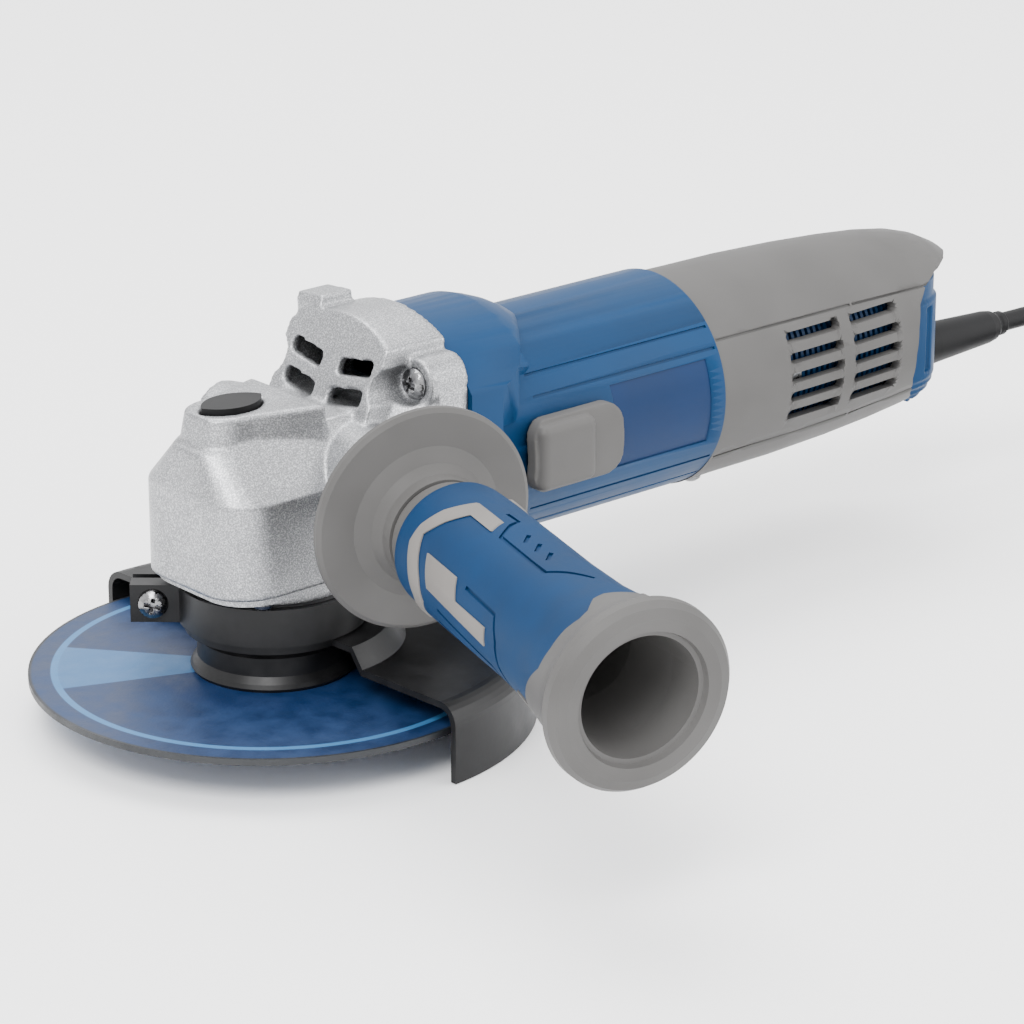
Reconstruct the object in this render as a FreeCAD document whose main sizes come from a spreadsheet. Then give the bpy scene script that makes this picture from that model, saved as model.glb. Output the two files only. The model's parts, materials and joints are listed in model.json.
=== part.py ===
import FreeCAD, Part
import math
import os
import re

import Sketcher

# Corded angle grinder for 115 mm discs, in millimetres.
# +X runs from the gear head to the tail, +Z is up, the side handle points towards -Y.
# The origin is the tip of the threaded spindle, on the spindle's axis.

DIMENSIONS = [
    ("deck", 9.0, "height of the disc's middle plane above the spindle tip"),
    ("disc_radius", 57.5, "cutting disc, 115 mm across"),
    ("disc_thick", 1.5, "cutting disc"),
    ("disc_bore", 11.1, "radius of the disc's hole, 22.2 mm across"),
    ("spindle_thread", 7.0, "M14 spindle thread, radius"),
    ("thread_root", 6.8, "spindle inside the flange and the nut, radius"),
    ("thread_end", 3.4, "length of the spindle's free end"),
    ("nut_low", 3.9, "underside of the lock nut"),
    ("spindle_shaft", 5.95, "spindle in its ball bearing"),
    ("spindle_top", 4.0, "upper journal of the spindle"),
    ("flange_radius", 19.1, "backing flange"),
    ("run_gap", 0.05, "radial gap of a running fit"),
    ("axle", 54.8, "height of the motor's axis"),
    ("head_front", 26.0, "spindle axis to the front wall of the head"),
    ("head_half", 20.0, "half width of the head"),
    ("head_corner", 12.0, "corner radius of the head"),
    ("head_low", 35.0, "underside of the gear housing"),
    ("plate_thick", 1.6, "bearing plate under the head"),
    ("head_shoulder", 57.5, "top of the head's upright walls"),
    ("pad_foot", 68.6, "where the raised pad leaves the slope, at its near corner"),
    ("pad_top", 75.4, "flat top of the raised pad"),
    ("hood_radius", 36.0, "arched hood above the vents"),
    ("hood_half", 18.0, "half width of the hood"),
    ("vent_foot", 14.2, "x of the vent face at its foot"),
    ("vent_low", 71.5, "height of the vent face's foot"),
    ("vent_lean", 0.45, "how far the vent face leans back for each mm of rise"),
    ("seam", 38.0, "x of the joint between gear housing and motor housing"),
    ("fan_radius_out", 33.5, "fan housing, outer radius"),
    ("fan_radius", 24.2, "cooling fan"),
    ("barrel", 27.3, "motor barrel, outer radius"),
    ("wall", 2.5, "wall of the plastic housings"),
    ("bulge_end", 58.0, "x where the fan housing starts to narrow"),
    ("barrel_start", 72.0, "x where the plain barrel starts"),
    ("tail_start", 120.0, "x of the joint between motor housing and rear cover"),
    ("tail_drop", 0.8, "the rear cover's axis lies this far below the motor's"),
    ("lug_out", 20.4, "gear housing screws, out from the middle plane"),
    ("lug_rise", 22.9, "gear housing screws, above and below the motor's axis"),
    ("lug", 5.8, "radius of a screw lug"),
    ("lug_front", 27.0, "x of the face under the screw heads"),
    ("flank", 26.4, "half width of the gear housing's flange"),
    ("stud", 3.95, "M8 stud of the side handle, radius"),
    ("socket", 4.0, "M8 socket for the side handle, radius"),
    ("handle_x", 18.0, "x where the handle's axis meets the middle plane"),
    ("handle_z", 60.2, "height of the handle's axis at the middle plane"),
    ("handle_cant", 13.5, "degrees that the handle is canted towards the head"),
    ("handle_droop", 4.0, "degrees that the handle slopes down"),
    ("boss_end", 33.0, "length of the handle boss from the middle plane"),
    ("boss", 11.0, "radius of the handle boss"),
    ("hand_guard", 26.5, "radius of the handle's flange"),
    ("guard_radius", 62.0, "outside of the guard's skirt"),
    ("guard_plate_top", 7.7, "top of the guard's plate above the disc"),
    ("guard_drop", 11.0, "bottom of the skirt below the disc"),
    ("sheet_steel", 1.6, "thickness of the guard"),
    ("collar", 20.8, "outside of the guard's collar"),
    ("crown_teeth", 27.0, "teeth on the crown wheel"),
    ("pinion_teeth", 9.0, "teeth on the pinion"),
    ("crown_pitch", 16.2, "pitch radius of the crown wheel"),
    ("cord", 2.6, "radius of the mains lead"),
    ("relief_z", 42.2, "height of the mains lead where it leaves"),
    ("relief_end", 251.0, "x of the end of the strain relief"),
]

document = FreeCAD.newDocument("angle_grinder")
sheet = document.addObject("Spreadsheet::Sheet", "dims")
for row, (alias, number, meaning) in enumerate(DIMENSIONS, start=1):
    sheet.set("A%d" % row, meaning)
    sheet.set("B%d" % row, str(number))
    sheet.setAlias("B%d" % row, alias)
document.recompute()

NAMES = {alias for alias, number, meaning in DIMENSIONS}
nodes = []


def linked(expression):
    """The expression with each dimension's name pointed at the sheet."""
    return re.sub(r"[a-z_]+", lambda word: "dims." + word[0] if word[0] in NAMES else word[0],
                  str(expression))


def size(expression):
    """The number that an expression of dimensions stands for."""
    return float(sheet.evalExpression(linked(expression)))


def vector(x, y, z):
    """A point whose coordinates are expressions or numbers."""
    return FreeCAD.Vector(size(x), size(y), size(z))


def bind(item, properties):
    """Ties properties of an object to expressions of the sheet's dimensions."""
    for name, expression in properties.items():
        item.setExpression(name, linked(expression))


def place(item, at=(0, 0, 0), turn=None):
    """Gives an object its place, each coordinate tied to the sheet."""
    if turn is not None:
        item.Placement = FreeCAD.Placement(vector(*at), turn)
    for letter, expression in zip("xyz", at):
        if str(expression) != "0":
            item.setExpression(".Placement.Base." + letter, linked(expression))
    return item


ALONG_X = FreeCAD.Rotation(FreeCAD.Vector(0, 1, 0), 90)
ALONG_LEFT = FreeCAD.Rotation(FreeCAD.Vector(1, 0, 0), 90)
ALONG_RIGHT = FreeCAD.Rotation(FreeCAD.Vector(1, 0, 0), -90)
DOWN = FreeCAD.Rotation(FreeCAD.Vector(1, 0, 0), 180)


def node(item, name):
    """Registers a finished piece under its own name."""
    item.Label = name
    nodes.append(item)
    return item


def cylinder(name, radius, height, at=(0, 0, 0), turn=None):
    """A round bar that starts at a point and runs along its turned Z axis."""
    item = document.addObject("Part::Cylinder", name)
    bind(item, {"Radius": radius, "Height": height})
    return place(item, at, turn)


def box(name, low, high, turn=None):
    """A block between two corners."""
    item = document.addObject("Part::Box", name)
    lengths = ["(%s) - (%s)" % (far, near) for near, far in zip(low, high)]
    bind(item, dict(zip(("Length", "Width", "Height"), lengths)))
    return place(item, low, turn)


def fuse(name, pieces):
    """One solid made of several."""
    item = document.addObject("Part::MultiFuse", name)
    item.Shapes = pieces
    item.Refine = True
    return item


def group(name, pieces):
    """Separate solids kept as one piece."""
    item = document.addObject("Part::Compound", name)
    item.Links = pieces
    return item


def cut(name, base, tools):
    """A solid less one or more tools."""
    item = document.addObject("Part::Cut", name)
    item.Base = base
    item.Tool = tools[0] if len(tools) == 1 else fuse(name + "_tools", tools)
    item.Refine = True
    return item


def closed_sketch(body, name, plane, outline):
    """A sketch on one of the body's own planes, through points tied to the sheet."""
    sketch = body.newObject("Sketcher::SketchObject", name)
    origin = next(item for item in body.Origin.OriginFeatures if item.Role == plane)
    sketch.AttachmentSupport = [(origin, "")]
    sketch.MapMode = "FlatFace"
    points = [FreeCAD.Vector(size(x), size(y), 0) for x, y in outline]
    count = len(points)
    for index in range(count):
        sketch.addGeometry(Part.LineSegment(points[index], points[(index + 1) % count]), False)
    for index in range(count):
        sketch.addConstraint(Sketcher.Constraint("Coincident", index, 2, (index + 1) % count, 1))
    for index, (x, y) in enumerate(outline):
        for kind, expression in (("DistanceX", x), ("DistanceY", y)):
            number = size(expression)
            slot = sketch.addConstraint(Sketcher.Constraint(kind, index, 1, number))
            if number != 0.0:
                sketch.setExpression("Constraints[%d]" % slot, linked(expression))
    return sketch


def turned(name, outline, about="V_Axis", at=(0, 0, 0), turn=None, angle=360.0):
    """A lathe-turned body: an outline in the XZ plane turned about one of its axes."""
    body = document.addObject("PartDesign::Body", name)
    sketch = closed_sketch(body, name + "_outline", "XZ_Plane", outline)
    feature = body.newObject("PartDesign::Revolution", name + "_turned")
    feature.Profile = sketch
    feature.ReferenceAxis = (sketch, [about])
    feature.Angle = angle
    feature.Midplane = angle < 360.0
    sketch.Visibility = False
    return place(body, at, turn)


def shafted(name, outline, at=(0, 0, "axle")):
    """A turned body on the motor's axis: the outline is (x, radius)."""
    return turned(name, outline, "H_Axis", at)


def plate(name, outline, thickness, plane="XY_Plane", at=(0, 0, 0), turn=None, both=False):
    """An outline padded to a thickness."""
    body = document.addObject("PartDesign::Body", name)
    sketch = closed_sketch(body, name + "_outline", plane, outline)
    feature = body.newObject("PartDesign::Pad", name + "_pad")
    feature.Profile = sketch
    feature.Midplane = both
    feature.setExpression("Length", linked(thickness))
    return place(body, at, turn)


def shaped(name, shape):
    """A piece whose form is worked out by a function."""
    item = document.addObject("Part::Feature", name)
    item.Shape = shape
    return item


def ring(name, inner, outer, low, high):
    """A plain ring about the spindle axis."""
    return turned(name, [(inner, low), (outer, low), (outer, high), (inner, high)])


def collar_on_axle(name, inner, outer, start, end):
    """A plain ring about the motor's axis."""
    return shafted(name, [(start, inner), (end, inner), (end, outer), (start, outer)])


# ---------------------------------------------------------------- gears

GAP_SHARE = 0.73


def bevel_gear(teeth, mate_teeth, pitch, width, bore, back, hub_back):
    """A straight bevel gear with its pitch cone's apex at the origin and its axis along +Z.

    The teeth narrow towards the apex. The web behind them ends at hub_back along the axis.
    """
    angle = math.atan2(teeth, mate_teeth)
    along = (math.sin(angle), math.cos(angle))
    out = (math.cos(angle), -math.sin(angle))
    far = pitch / math.sin(angle)
    near = far - width
    module = 2.0 * pitch / teeth
    tip = 0.75 * module
    root = 1.0 * module

    def at(distance, lift):
        scale = distance / far
        return (along[0] * distance + out[0] * lift * scale, along[1] * distance + out[1] * lift * scale)

    tip_far = at(far, tip)
    tip_near = at(near, tip)
    floor_near = at(near, -root - 0.4)
    profile = [(bore, floor_near[1]), floor_near, tip_near, tip_far,
               (tip_far[0] - 0.3 * back, hub_back), (bore, hub_back)]
    wire = Part.makePolygon([FreeCAD.Vector(r, 0, z) for r, z in profile + profile[:1]])
    blank = Part.Face(wire).revolve(FreeCAD.Vector(), FreeCAD.Vector(0, 0, 1), 360)
    gap_half = 0.5 * math.pi * module * GAP_SHARE
    cutters = []
    for tooth in range(int(teeth)):
        sections = []
        for distance in (far * 1.25, near * 0.75):
            scale = distance / far
            deep = at(distance, -root)
            high = at(distance, tip + 2.0)
            sections.append(Part.makePolygon([
                FreeCAD.Vector(deep[0], -0.72 * gap_half * scale, deep[1]),
                FreeCAD.Vector(deep[0], 0.72 * gap_half * scale, deep[1]),
                FreeCAD.Vector(high[0], 1.25 * gap_half * scale, high[1]),
                FreeCAD.Vector(high[0], -1.25 * gap_half * scale, high[1]),
                FreeCAD.Vector(deep[0], -0.72 * gap_half * scale, deep[1]),
            ]))
        cutter = Part.makeLoft(sections, True, True)
        cutter.rotate(FreeCAD.Vector(), FreeCAD.Vector(0, 0, 1), 360.0 * tooth / teeth)
        cutters.append(cutter)
    return blank.cut(Part.makeCompound(cutters))


crown_teeth = size("crown_teeth")
pinion_teeth = size("pinion_teeth")
crown_pitch = size("crown_pitch")
pinion_pitch = crown_pitch * pinion_teeth / crown_teeth
CROWN_DEPTH = 14.0
crown_shape = bevel_gear(crown_teeth, pinion_teeth, crown_pitch, 4.6, size("spindle_shaft"), 2.0, CROWN_DEPTH)
LOCK_HOLES = 6
for lock_hole in range(LOCK_HOLES):
    hole = Part.makeCylinder(2.3, 7.0, FreeCAD.Vector(9.2, 0, 0))
    hole.translate(FreeCAD.Vector(0, 0, 2.0))
    hole.rotate(FreeCAD.Vector(), FreeCAD.Vector(0, 0, 1), 360.0 / LOCK_HOLES * lock_hole)
    crown_shape = crown_shape.cut(hole)
crown = shaped("crown_wheel", crown_shape)
crown.Placement = FreeCAD.Placement(vector(0, 0, "axle"), DOWN)
node(crown, "crown_wheel")

pinion_shape = bevel_gear(pinion_teeth, crown_teeth, pinion_pitch, 4.6, 2.6, 1.0, 19.0)
half_tooth = FreeCAD.Rotation(FreeCAD.Vector(0, 0, 1), 180.0 / pinion_teeth)
pinion = shaped("pinion", pinion_shape)
pinion.Placement = FreeCAD.Placement(vector(0, 0, "axle"), ALONG_X.multiply(half_tooth))
node(pinion, "pinion")

# ---------------------------------------------------------------- spindle group

node(turned("spindle", [
    (0, 0),
    ("spindle_thread", 0),
    ("spindle_thread", "thread_end"),
    ("thread_root", "thread_end"),
    ("thread_root", "deck + 9.5"),
    (8.5, "deck + 9.5"),
    (8.5, "deck + 13.4"),
    ("spindle_shaft", "deck + 13.4"),
    ("spindle_shaft", "axle - 3.6"),
    ("spindle_top", "axle - 3.6"),
    ("spindle_top", "deck + 56.8"),
    (0, "deck + 56.8"),
]), "spindle")

node(turned("backing_flange", [
    ("thread_root", "deck - disc_thick / 2"),
    ("disc_bore", "deck - disc_thick / 2"),
    ("disc_bore", "deck + disc_thick / 2"),
    ("flange_radius", "deck + disc_thick / 2"),
    ("flange_radius + 0.5", "deck + 1.6"),
    ("flange_radius", "deck + 2.6"),
    ("flange_radius - 1.1", "deck + 4.2"),
    ("flange_radius - 1.3", "deck + 8.6"),
    ("flange_radius - 2.1", "deck + 9.4"),
    ("thread_root", "deck + 9.4"),
]), "backing_flange")

disc = turned("disc_body", [
    ("disc_bore", "deck - disc_thick / 2"),
    ("disc_radius", "deck - disc_thick / 2"),
    ("disc_radius", "deck + disc_thick / 2"),
    ("disc_bore", "deck + disc_thick / 2"),
])
node(disc, "cutting_disc")

nut = turned("nut_body", [
    ("thread_root", "nut_low"),
    (12.5, "nut_low"),
    (13.5, 4.9),
    (13.5, 6.2),
    (19.5, 6.7),
    (20.0, "deck - disc_thick / 2"),
    ("thread_root", "deck - disc_thick / 2"),
])
key_holes = [cylinder("key_hole", 2.5, 3.0, (x, 0, 2.9)) for x in (-10.2, 10.2)]
node(cut("lock_nut", nut, key_holes), "lock_nut")

# ---------------------------------------------------------------- gear housing

def head_outline(front, half, corner_x, corner_y, rear, rear_half, level, rise=0.0):
    """The head seen from above: rounded at the front, straight at the back.

    rise tilts the outline up towards the back, in mm of height for each mm of x.
    """
    points = []
    steps = 7
    for step in range(steps + 1):
        turn = math.pi / 2 * step / steps
        points.append((-front + corner_x - corner_x * math.cos(turn),
                       half - corner_y + corner_y * math.sin(turn)))
    points.append((rear, rear_half))
    mirrored = [(x, -y) for x, y in reversed(points)]
    loop = points + mirrored
    corners = [FreeCAD.Vector(x, y, level + rise * (x + front)) for x, y in loop]
    return Part.makePolygon(corners + corners[:1])


def rounded_block(front, half, corner, rear, low, high):
    """The head's upright part, with its two front corners rounded."""
    plan = [Part.makeBox(rear + front - corner, 2 * half, high - low,
                         FreeCAD.Vector(corner - front, -half, low)),
            Part.makeBox(corner, 2 * (half - corner), high - low,
                         FreeCAD.Vector(-front, corner - half, low))]
    for side in (-1, 1):
        centre = FreeCAD.Vector(corner - front, side * (half - corner), low)
        plan.append(Part.makeCylinder(corner, high - low, centre))
    return plan[0].multiFuse(plan[1:]).removeSplitter()


def vent_half_space(depth):
    """What lies behind the leaning vent face, moved back by a depth."""
    lean = size("vent_lean")
    low = size("vent_low") - 40.0
    high = size("vent_low") + 40.0
    foot = size("vent_foot") + depth
    rear = size("seam") + 1.0
    corners = [FreeCAD.Vector(foot - lean * 40.0, 60, low), FreeCAD.Vector(foot + lean * 40.0, 60, high),
               FreeCAD.Vector(rear, 60, high), FreeCAD.Vector(rear, 60, low)]
    return Part.Face(Part.makePolygon(corners + corners[:1])).extrude(FreeCAD.Vector(0, -120, 0))


def along_axle(radius, start, end):
    """A bar on the motor's axis."""
    return Part.makeCylinder(radius, end - start, vector(start, 0, "axle"), FreeCAD.Vector(1, 0, 0))


def lug_points():
    """The middle of each gear housing screw, across the motor's axis."""
    return [(side * size("lug_out"), size("axle") + rise * size("lug_rise")) for side in (-1, 1) for rise in (1, -1)]


def handle_way(side):
    """The direction of a handle boss, canted towards the front and sloping down a little."""
    cant = math.radians(size("handle_cant"))
    droop = math.radians(size("handle_droop"))
    return FreeCAD.Vector(-math.sin(cant) * math.cos(droop), side * math.cos(cant) * math.cos(droop),
                          -math.sin(droop))


def gear_housing_shape():
    """The cast head: upright walls, sloped shoulders, raised pad, arched hood and rear flange."""
    front = size("head_front")
    half = size("head_half")
    corner = size("head_corner")
    low = size("head_low")
    shoulder = size("head_shoulder")
    seam = size("seam")
    foot = size("pad_foot")
    body = rounded_block(front, half, corner, seam - 2.0, low, shoulder)
    slope = Part.makeLoft([
        head_outline(front, half, corner, corner, seam - 2.0, half, shoulder),
        head_outline(front - 2.0, 9.4, 11.0, 7.0, seam - 2.0, 16.0, foot - 0.6, 0.1),
    ], True, True)
    pad = Part.makeLoft([
        head_outline(front - 2.0, 9.6, 11.0, 6.6, 6.0, 14.6, shoulder + 4.0),
        head_outline(front - 5.2, 8.6, 9.0, 5.8, 6.0, 14.0, size("pad_top")),
    ], True, True)
    hood = along_axle(size("hood_radius"), 0.0, seam)
    hood = hood.common(Part.makeBox(60, 2 * size("hood_half"), 60,
                                    FreeCAD.Vector(0, -size("hood_half"), size("axle"))))
    hood = hood.common(vent_half_space(0.0))
    flank = Part.makeBox(60, 2 * size("flank"), 120, FreeCAD.Vector(0, -size("flank"), 0))
    flange = along_axle(size("fan_radius_out"), seam - 9.0, seam).common(flank)
    cheek = Part.makeCone(half, size("fan_radius_out"), 14.0, vector("seam - 22", 0, "axle"),
                          FreeCAD.Vector(1, 0, 0)).common(flank)
    body = body.multiFuse([slope, pad, hood, flange, cheek])
    lugs = []
    for y, z in lug_points():
        lug_low = FreeCAD.Vector(size("lug_front"), y, z)
        lugs.append(Part.makeCylinder(size("lug"), seam - size("lug_front"), lug_low,
                                      FreeCAD.Vector(1, 0, 0)))
        web = Part.makeBox(seam - size("lug_front"), 2 * size("lug"), math.hypot(y, z - size("axle")) - 12.0,
                           FreeCAD.Vector(size("lug_front"), -size("lug"), 12.0))
        web.rotate(FreeCAD.Vector(), FreeCAD.Vector(1, 0, 0),
                   math.degrees(math.atan2(z - size("axle"), y)) - 90.0)
        web.translate(vector(0, 0, "axle"))
        lugs.append(web)
    for side in (-1, 1):
        start = vector("handle_x", 0, "handle_z")
        lugs.append(Part.makeCylinder(size("boss"), size("boss_end"), start, handle_way(side)))
    spur = Part.makeBox(10.0, 9.0, 12.0, FreeCAD.Vector(22.5, 6.5, size("axle") + 26.4))
    spur.rotate(vector(0, 0, "axle"), FreeCAD.Vector(1, 0, 0), -4.0)
    lugs.append(spur.common(vent_half_space(0.0)))
    body = body.multiFuse(lugs).removeSplitter()
    return body.cut(Part.makeCompound(housing_cavities()))


GUARD_ROOM = 28.6


def housing_cavities():
    """The spaces inside the head: gear chamber, shaft bores, air duct, vents and screw holes."""
    seam = size("seam")
    axle = size("axle")
    low = size("head_low")
    spaces = [
        Part.makeCylinder(17.4, size("deck + 44.6") - low + 1.0, FreeCAD.Vector(0, 0, low - 1.0)),
        Part.makeCylinder(GUARD_ROOM, 30.0, FreeCAD.Vector(0, 0, low - 30.0)),
        Part.makeCylinder(6.6, size("deck + 57.2") - axle + 8.0, FreeCAD.Vector(0, 0, axle - 8.0)),
        along_axle(7.6, 0.0, 24.5),
        along_axle(13.0, 24.0, 32.0),
        along_axle(10.5, 31.0, seam + 1.0),
        Part.makeCylinder(2.0, 40.0, FreeCAD.Vector(-9.2, 0, axle - 6.0)),
        Part.makeCylinder(3.6, 10.0, FreeCAD.Vector(-9.2, 0, size("pad_top - 9.5"))),
        button_recess(),
    ]
    duct = along_axle(size("hood_radius - 2.6"), 8.0, seam + 1.0)
    duct = duct.cut(along_axle(16.5, 0.0, seam + 2.0))
    duct = duct.common(Part.makeBox(60, 2 * size("hood_half - 2.6"), 60,
                                    FreeCAD.Vector(0, -size("hood_half - 2.6"), axle)))
    duct = duct.common(vent_half_space(2.6))
    duct = duct.common(Part.makeBox(60, 60, 60, FreeCAD.Vector(0, -30, size("vent_low - 1.2"))))
    spaces.append(duct)
    lean = size("vent_lean")
    for side in (-1, 1):
        for rise, inner, outer in ((0.2, 2.8, 14.0), (6.8, 3.1, 14.6)):
            z = size("vent_low") + rise
            corners = []
            for y, lift in ((inner, 0.0), (outer, 1.6), (outer, 5.2), (inner, 3.6)):
                corners.append(FreeCAD.Vector(size("vent_foot") - 4.0 + lean * (rise + lift), side * y, z + lift))
            slot = Part.Face(Part.makePolygon(corners + corners[:1]))
            spaces.append(slot.extrude(FreeCAD.Vector(8.0, 0, -1.0)))
    for y, z in lug_points():
        spaces.append(Part.makeCylinder(2.05, 30.0, FreeCAD.Vector(20.0, y, z), FreeCAD.Vector(1, 0, 0)))
        spaces.append(Part.makeCylinder(4.7, 12.0, FreeCAD.Vector(size("lug_front") - 12.0, y, z),
                                        FreeCAD.Vector(1, 0, 0)))
    for side in (-1, 1):
        way = handle_way(side)
        start = vector("handle_x", 0, "handle_z") + way * 18.5
        spaces.append(Part.makeCylinder(size("socket"), 20.0, start, way))
    for x, y in plate_screw_points():
        spaces.append(Part.makeCylinder(1.6, 9.0, FreeCAD.Vector(x, y, low - 1.0)))
    return spaces


def lens(length, width, low, high, middle):
    """A lens-shaped column: two arcs that meet in points at the front and the back."""
    radius = (length * length / 4 + width * width / 4) / width
    column = None
    for side in (-1, 1):
        centre = FreeCAD.Vector(middle, side * (radius - width / 2), low)
        disc_solid = Part.makeCylinder(radius, high - low, centre)
        column = disc_solid if column is None else column.common(disc_solid)
    return column


BUTTON_MIDDLE = -10.6


def button_recess():
    """The recess in the pad's top that the spindle lock button sinks into."""
    return lens(17.6, 11.0, size("pad_top - 5.6"), size("pad_top + 1"), BUTTON_MIDDLE)


def plate_screw_points():
    """The four screws that hold the bearing plate to the gear housing."""
    return [(x, side * 16.6) for side in (-1, 1) for x in (-15.5, 15.5)]


node(shaped("gear_housing", gear_housing_shape()), "gear_housing")

button = lens(17.0, 10.4, size("pad_top - 1.6"), size("pad_top + 1.2"), BUTTON_MIDDLE)
stem = Part.makeCylinder(3.3, 3.0, FreeCAD.Vector(-9.2, 0, size("pad_top - 4.4")))
node(shaped("lock_button", button.fuse(stem).removeSplitter()), "lock_button")
pin_shape = Part.makeCylinder(1.9, size("pad_top - 4.4 - axle + 3.2"),
                              FreeCAD.Vector(-9.2, 0, size("axle - 3.2")))
node(shaped("lock_pin", pin_shape), "lock_pin")
node(ring("lock_spring", 2.3, 3.2, "pad_top - 9.3", "pad_top - 4.6"), "lock_spring")
nodes[-1].Placement = FreeCAD.Placement(FreeCAD.Vector(-9.2, 0, 0), FreeCAD.Rotation())

# ---------------------------------------------------------------- bearing plate and bearings

def bearing_plate_shape():
    """The plate under the head, with the neck that the guard turns on."""
    deck = size("deck")
    low = size("head_low")
    plan = rounded_block(size("head_front") - 2.0, size("head_half") - 1.0, size("head_corner") - 1.0,
                         21.0, low - size("plate_thick"), low)
    neck = Part.makeCylinder(19.0, low - deck - 12.0, FreeCAD.Vector(0, 0, deck + 12.0))
    body = plan.fuse(neck)
    spaces = [
        Part.makeCylinder(16.0, 11.0, FreeCAD.Vector(0, 0, deck + 14.0)),
        Part.makeCylinder(9.0, 40.0, FreeCAD.Vector(0, 0, deck)),
        Part.makeCylinder(12.5, 3.0, FreeCAD.Vector(0, 0, low - 2.0)),
    ]
    for x, y in plate_screw_points():
        spaces.append(Part.makeCylinder(1.7, 9.0, FreeCAD.Vector(x, y, low - 4.0)))
    return body.cut(Part.makeCompound(spaces)).removeSplitter()


node(shaped("bearing_plate", bearing_plate_shape()), "bearing_plate")
node(ring("spindle_bearing", "spindle_shaft + run_gap", 16.0, "deck + 14", "deck + 24"), "spindle_bearing")
node(ring("spindle_bush", "spindle_top + run_gap", 6.6, "deck + 49", "deck + 57"), "spindle_bush")
node(collar_on_axle("front_bearing", 5.05, 13.0, 24.0, 32.0), "front_bearing")
node(collar_on_axle("rear_bearing", 4.05, 11.0, 130.0, 137.0), "rear_bearing")


def pan_screw(name, shank, reach, head, at, turn=None):
    """A pan-head screw: its head sits at a point and its shank runs along the turned Z axis."""
    return turned(name, [
        (0, "-0.62 * (%s)" % head),
        ("0.55 * (%s)" % head, "-0.56 * (%s)" % head),
        ("0.9 * (%s)" % head, "-0.3 * (%s)" % head),
        (head, 0),
        (shank, 0),
        (shank, reach),
        (0, reach),
    ], "V_Axis", at, turn)


plate_screws = [pan_screw("plate_screw", 1.6, 8.0, 2.6, (x, y, "head_low - plate_thick"))
                for x, y in plate_screw_points()]
node(group("plate_screws", plate_screws), "plate_screws")
housing_screws = [pan_screw("housing_screw", 2.0, 26.0, 3.9, ("lug_front", y, z), ALONG_X)
                  for y, z in lug_points()]
node(group("gear_housing_screws", housing_screws), "gear_housing_screws")

# ---------------------------------------------------------------- guard

guard_turn = FreeCAD.Rotation(FreeCAD.Vector(0, 0, 1), 3.0)


def guard_shape():
    """Pressed steel: a collar, a dished plate over the rear half and a skirt."""
    deck = size("deck")
    steel = size("sheet_steel")
    outer = size("guard_radius")
    top = deck + size("guard_plate_top")
    low = deck - size("guard_drop")
    neck = size("collar")
    rim = 5.0
    profile = [(neck - steel + 0.1, deck + 12.4), (27.5, deck + 12.4), (31.0, top), (outer - rim, top)]
    for step in range(1, 7):
        turn = math.pi / 2 * step / 6
        profile.append((outer - rim + rim * math.sin(turn), top - rim + rim * math.cos(turn)))
    profile.append((outer, low))
    profile.append((outer - steel, low))
    for step in range(6, -1, -1):
        turn = math.pi / 2 * step / 6
        profile.append((outer - rim + (rim - steel) * math.sin(turn),
                        top - rim + (rim - steel) * math.cos(turn)))
    profile.append((31.0 - 0.6, top - steel))
    profile.append((27.5 - 0.6, deck + 12.4 - steel))
    profile.append((neck - steel + 0.1, deck + 12.4 - steel))
    wire = Part.makePolygon([FreeCAD.Vector(0, -r, z) for r, z in profile + profile[:1]])
    shell = Part.Face(wire).revolve(FreeCAD.Vector(), FreeCAD.Vector(0, 0, 1), 180)
    collar_ring = Part.makeCylinder(neck, 11.6, FreeCAD.Vector(0, 0, deck + 10.8))
    collar_ring = collar_ring.cut(Part.makeCylinder(19.06, 20.0, FreeCAD.Vector(0, 0, deck + 8.0)))
    return shell.fuse(collar_ring).removeSplitter()


guard = shaped("guard_shell", guard_shape())
guard.Placement = FreeCAD.Placement(FreeCAD.Vector(), guard_turn)
node(guard, "guard_shell")

EAR_ANGLE = 138.0


def band_shape():
    """The clamp band round the guard's collar, split between two ears."""
    low = size("deck + 13.0")
    high = size("deck + 22.2")
    inner = size("collar")
    band = Part.makeCylinder(inner + 1.3, high - low, FreeCAD.Vector(0, 0, low))
    ears = Part.makeBox(12.5, 12.0, high - low, FreeCAD.Vector(inner - 0.6, -6.0, low))
    band = band.fuse(ears)
    band = band.cut(Part.makeCylinder(inner, 40.0, FreeCAD.Vector(0, 0, low - 5.0)))
    band = band.cut(Part.makeBox(20.0, 2.4, 40.0, FreeCAD.Vector(inner - 2.0, -1.2, low - 5.0)))
    hole = Part.makeCylinder(2.05, 30.0, FreeCAD.Vector(inner + 6.6, -15.0, (low + high) / 2),
                             FreeCAD.Vector(0, 1, 0))
    return band.cut(hole).removeSplitter()


ear_turn = FreeCAD.Rotation(FreeCAD.Vector(0, 0, 1), EAR_ANGLE)
band = shaped("guard_band", band_shape())
band.Placement = FreeCAD.Placement(FreeCAD.Vector(), ear_turn)
node(band, "guard_band")
EAR_OUT = size("collar") + 6.6
screw_head = ear_turn.multVec(FreeCAD.Vector(EAR_OUT, 6.0, size("deck + 17.6")))
node(pan_screw("band_screw", 2.0, 14.5, 3.6, tuple(screw_head), ear_turn.multiply(ALONG_LEFT)), "band_screw")
hexagon = [(3.7 * math.cos(math.pi / 3 * k), 3.7 * math.sin(math.pi / 3 * k)) for k in range(6)]
nut_at = ear_turn.multVec(FreeCAD.Vector(EAR_OUT, -6.0, size("deck + 17.6")))
band_nut = plate("nut_hexagon", hexagon, 3.2, at=tuple(nut_at), turn=ear_turn.multiply(ALONG_LEFT))
nut_hole = cylinder("nut_hole", 2.0, 9.0, tuple(nut_at), ear_turn.multiply(ALONG_LEFT))
node(cut("band_nut", band_nut, [nut_hole]), "band_nut")

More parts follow.
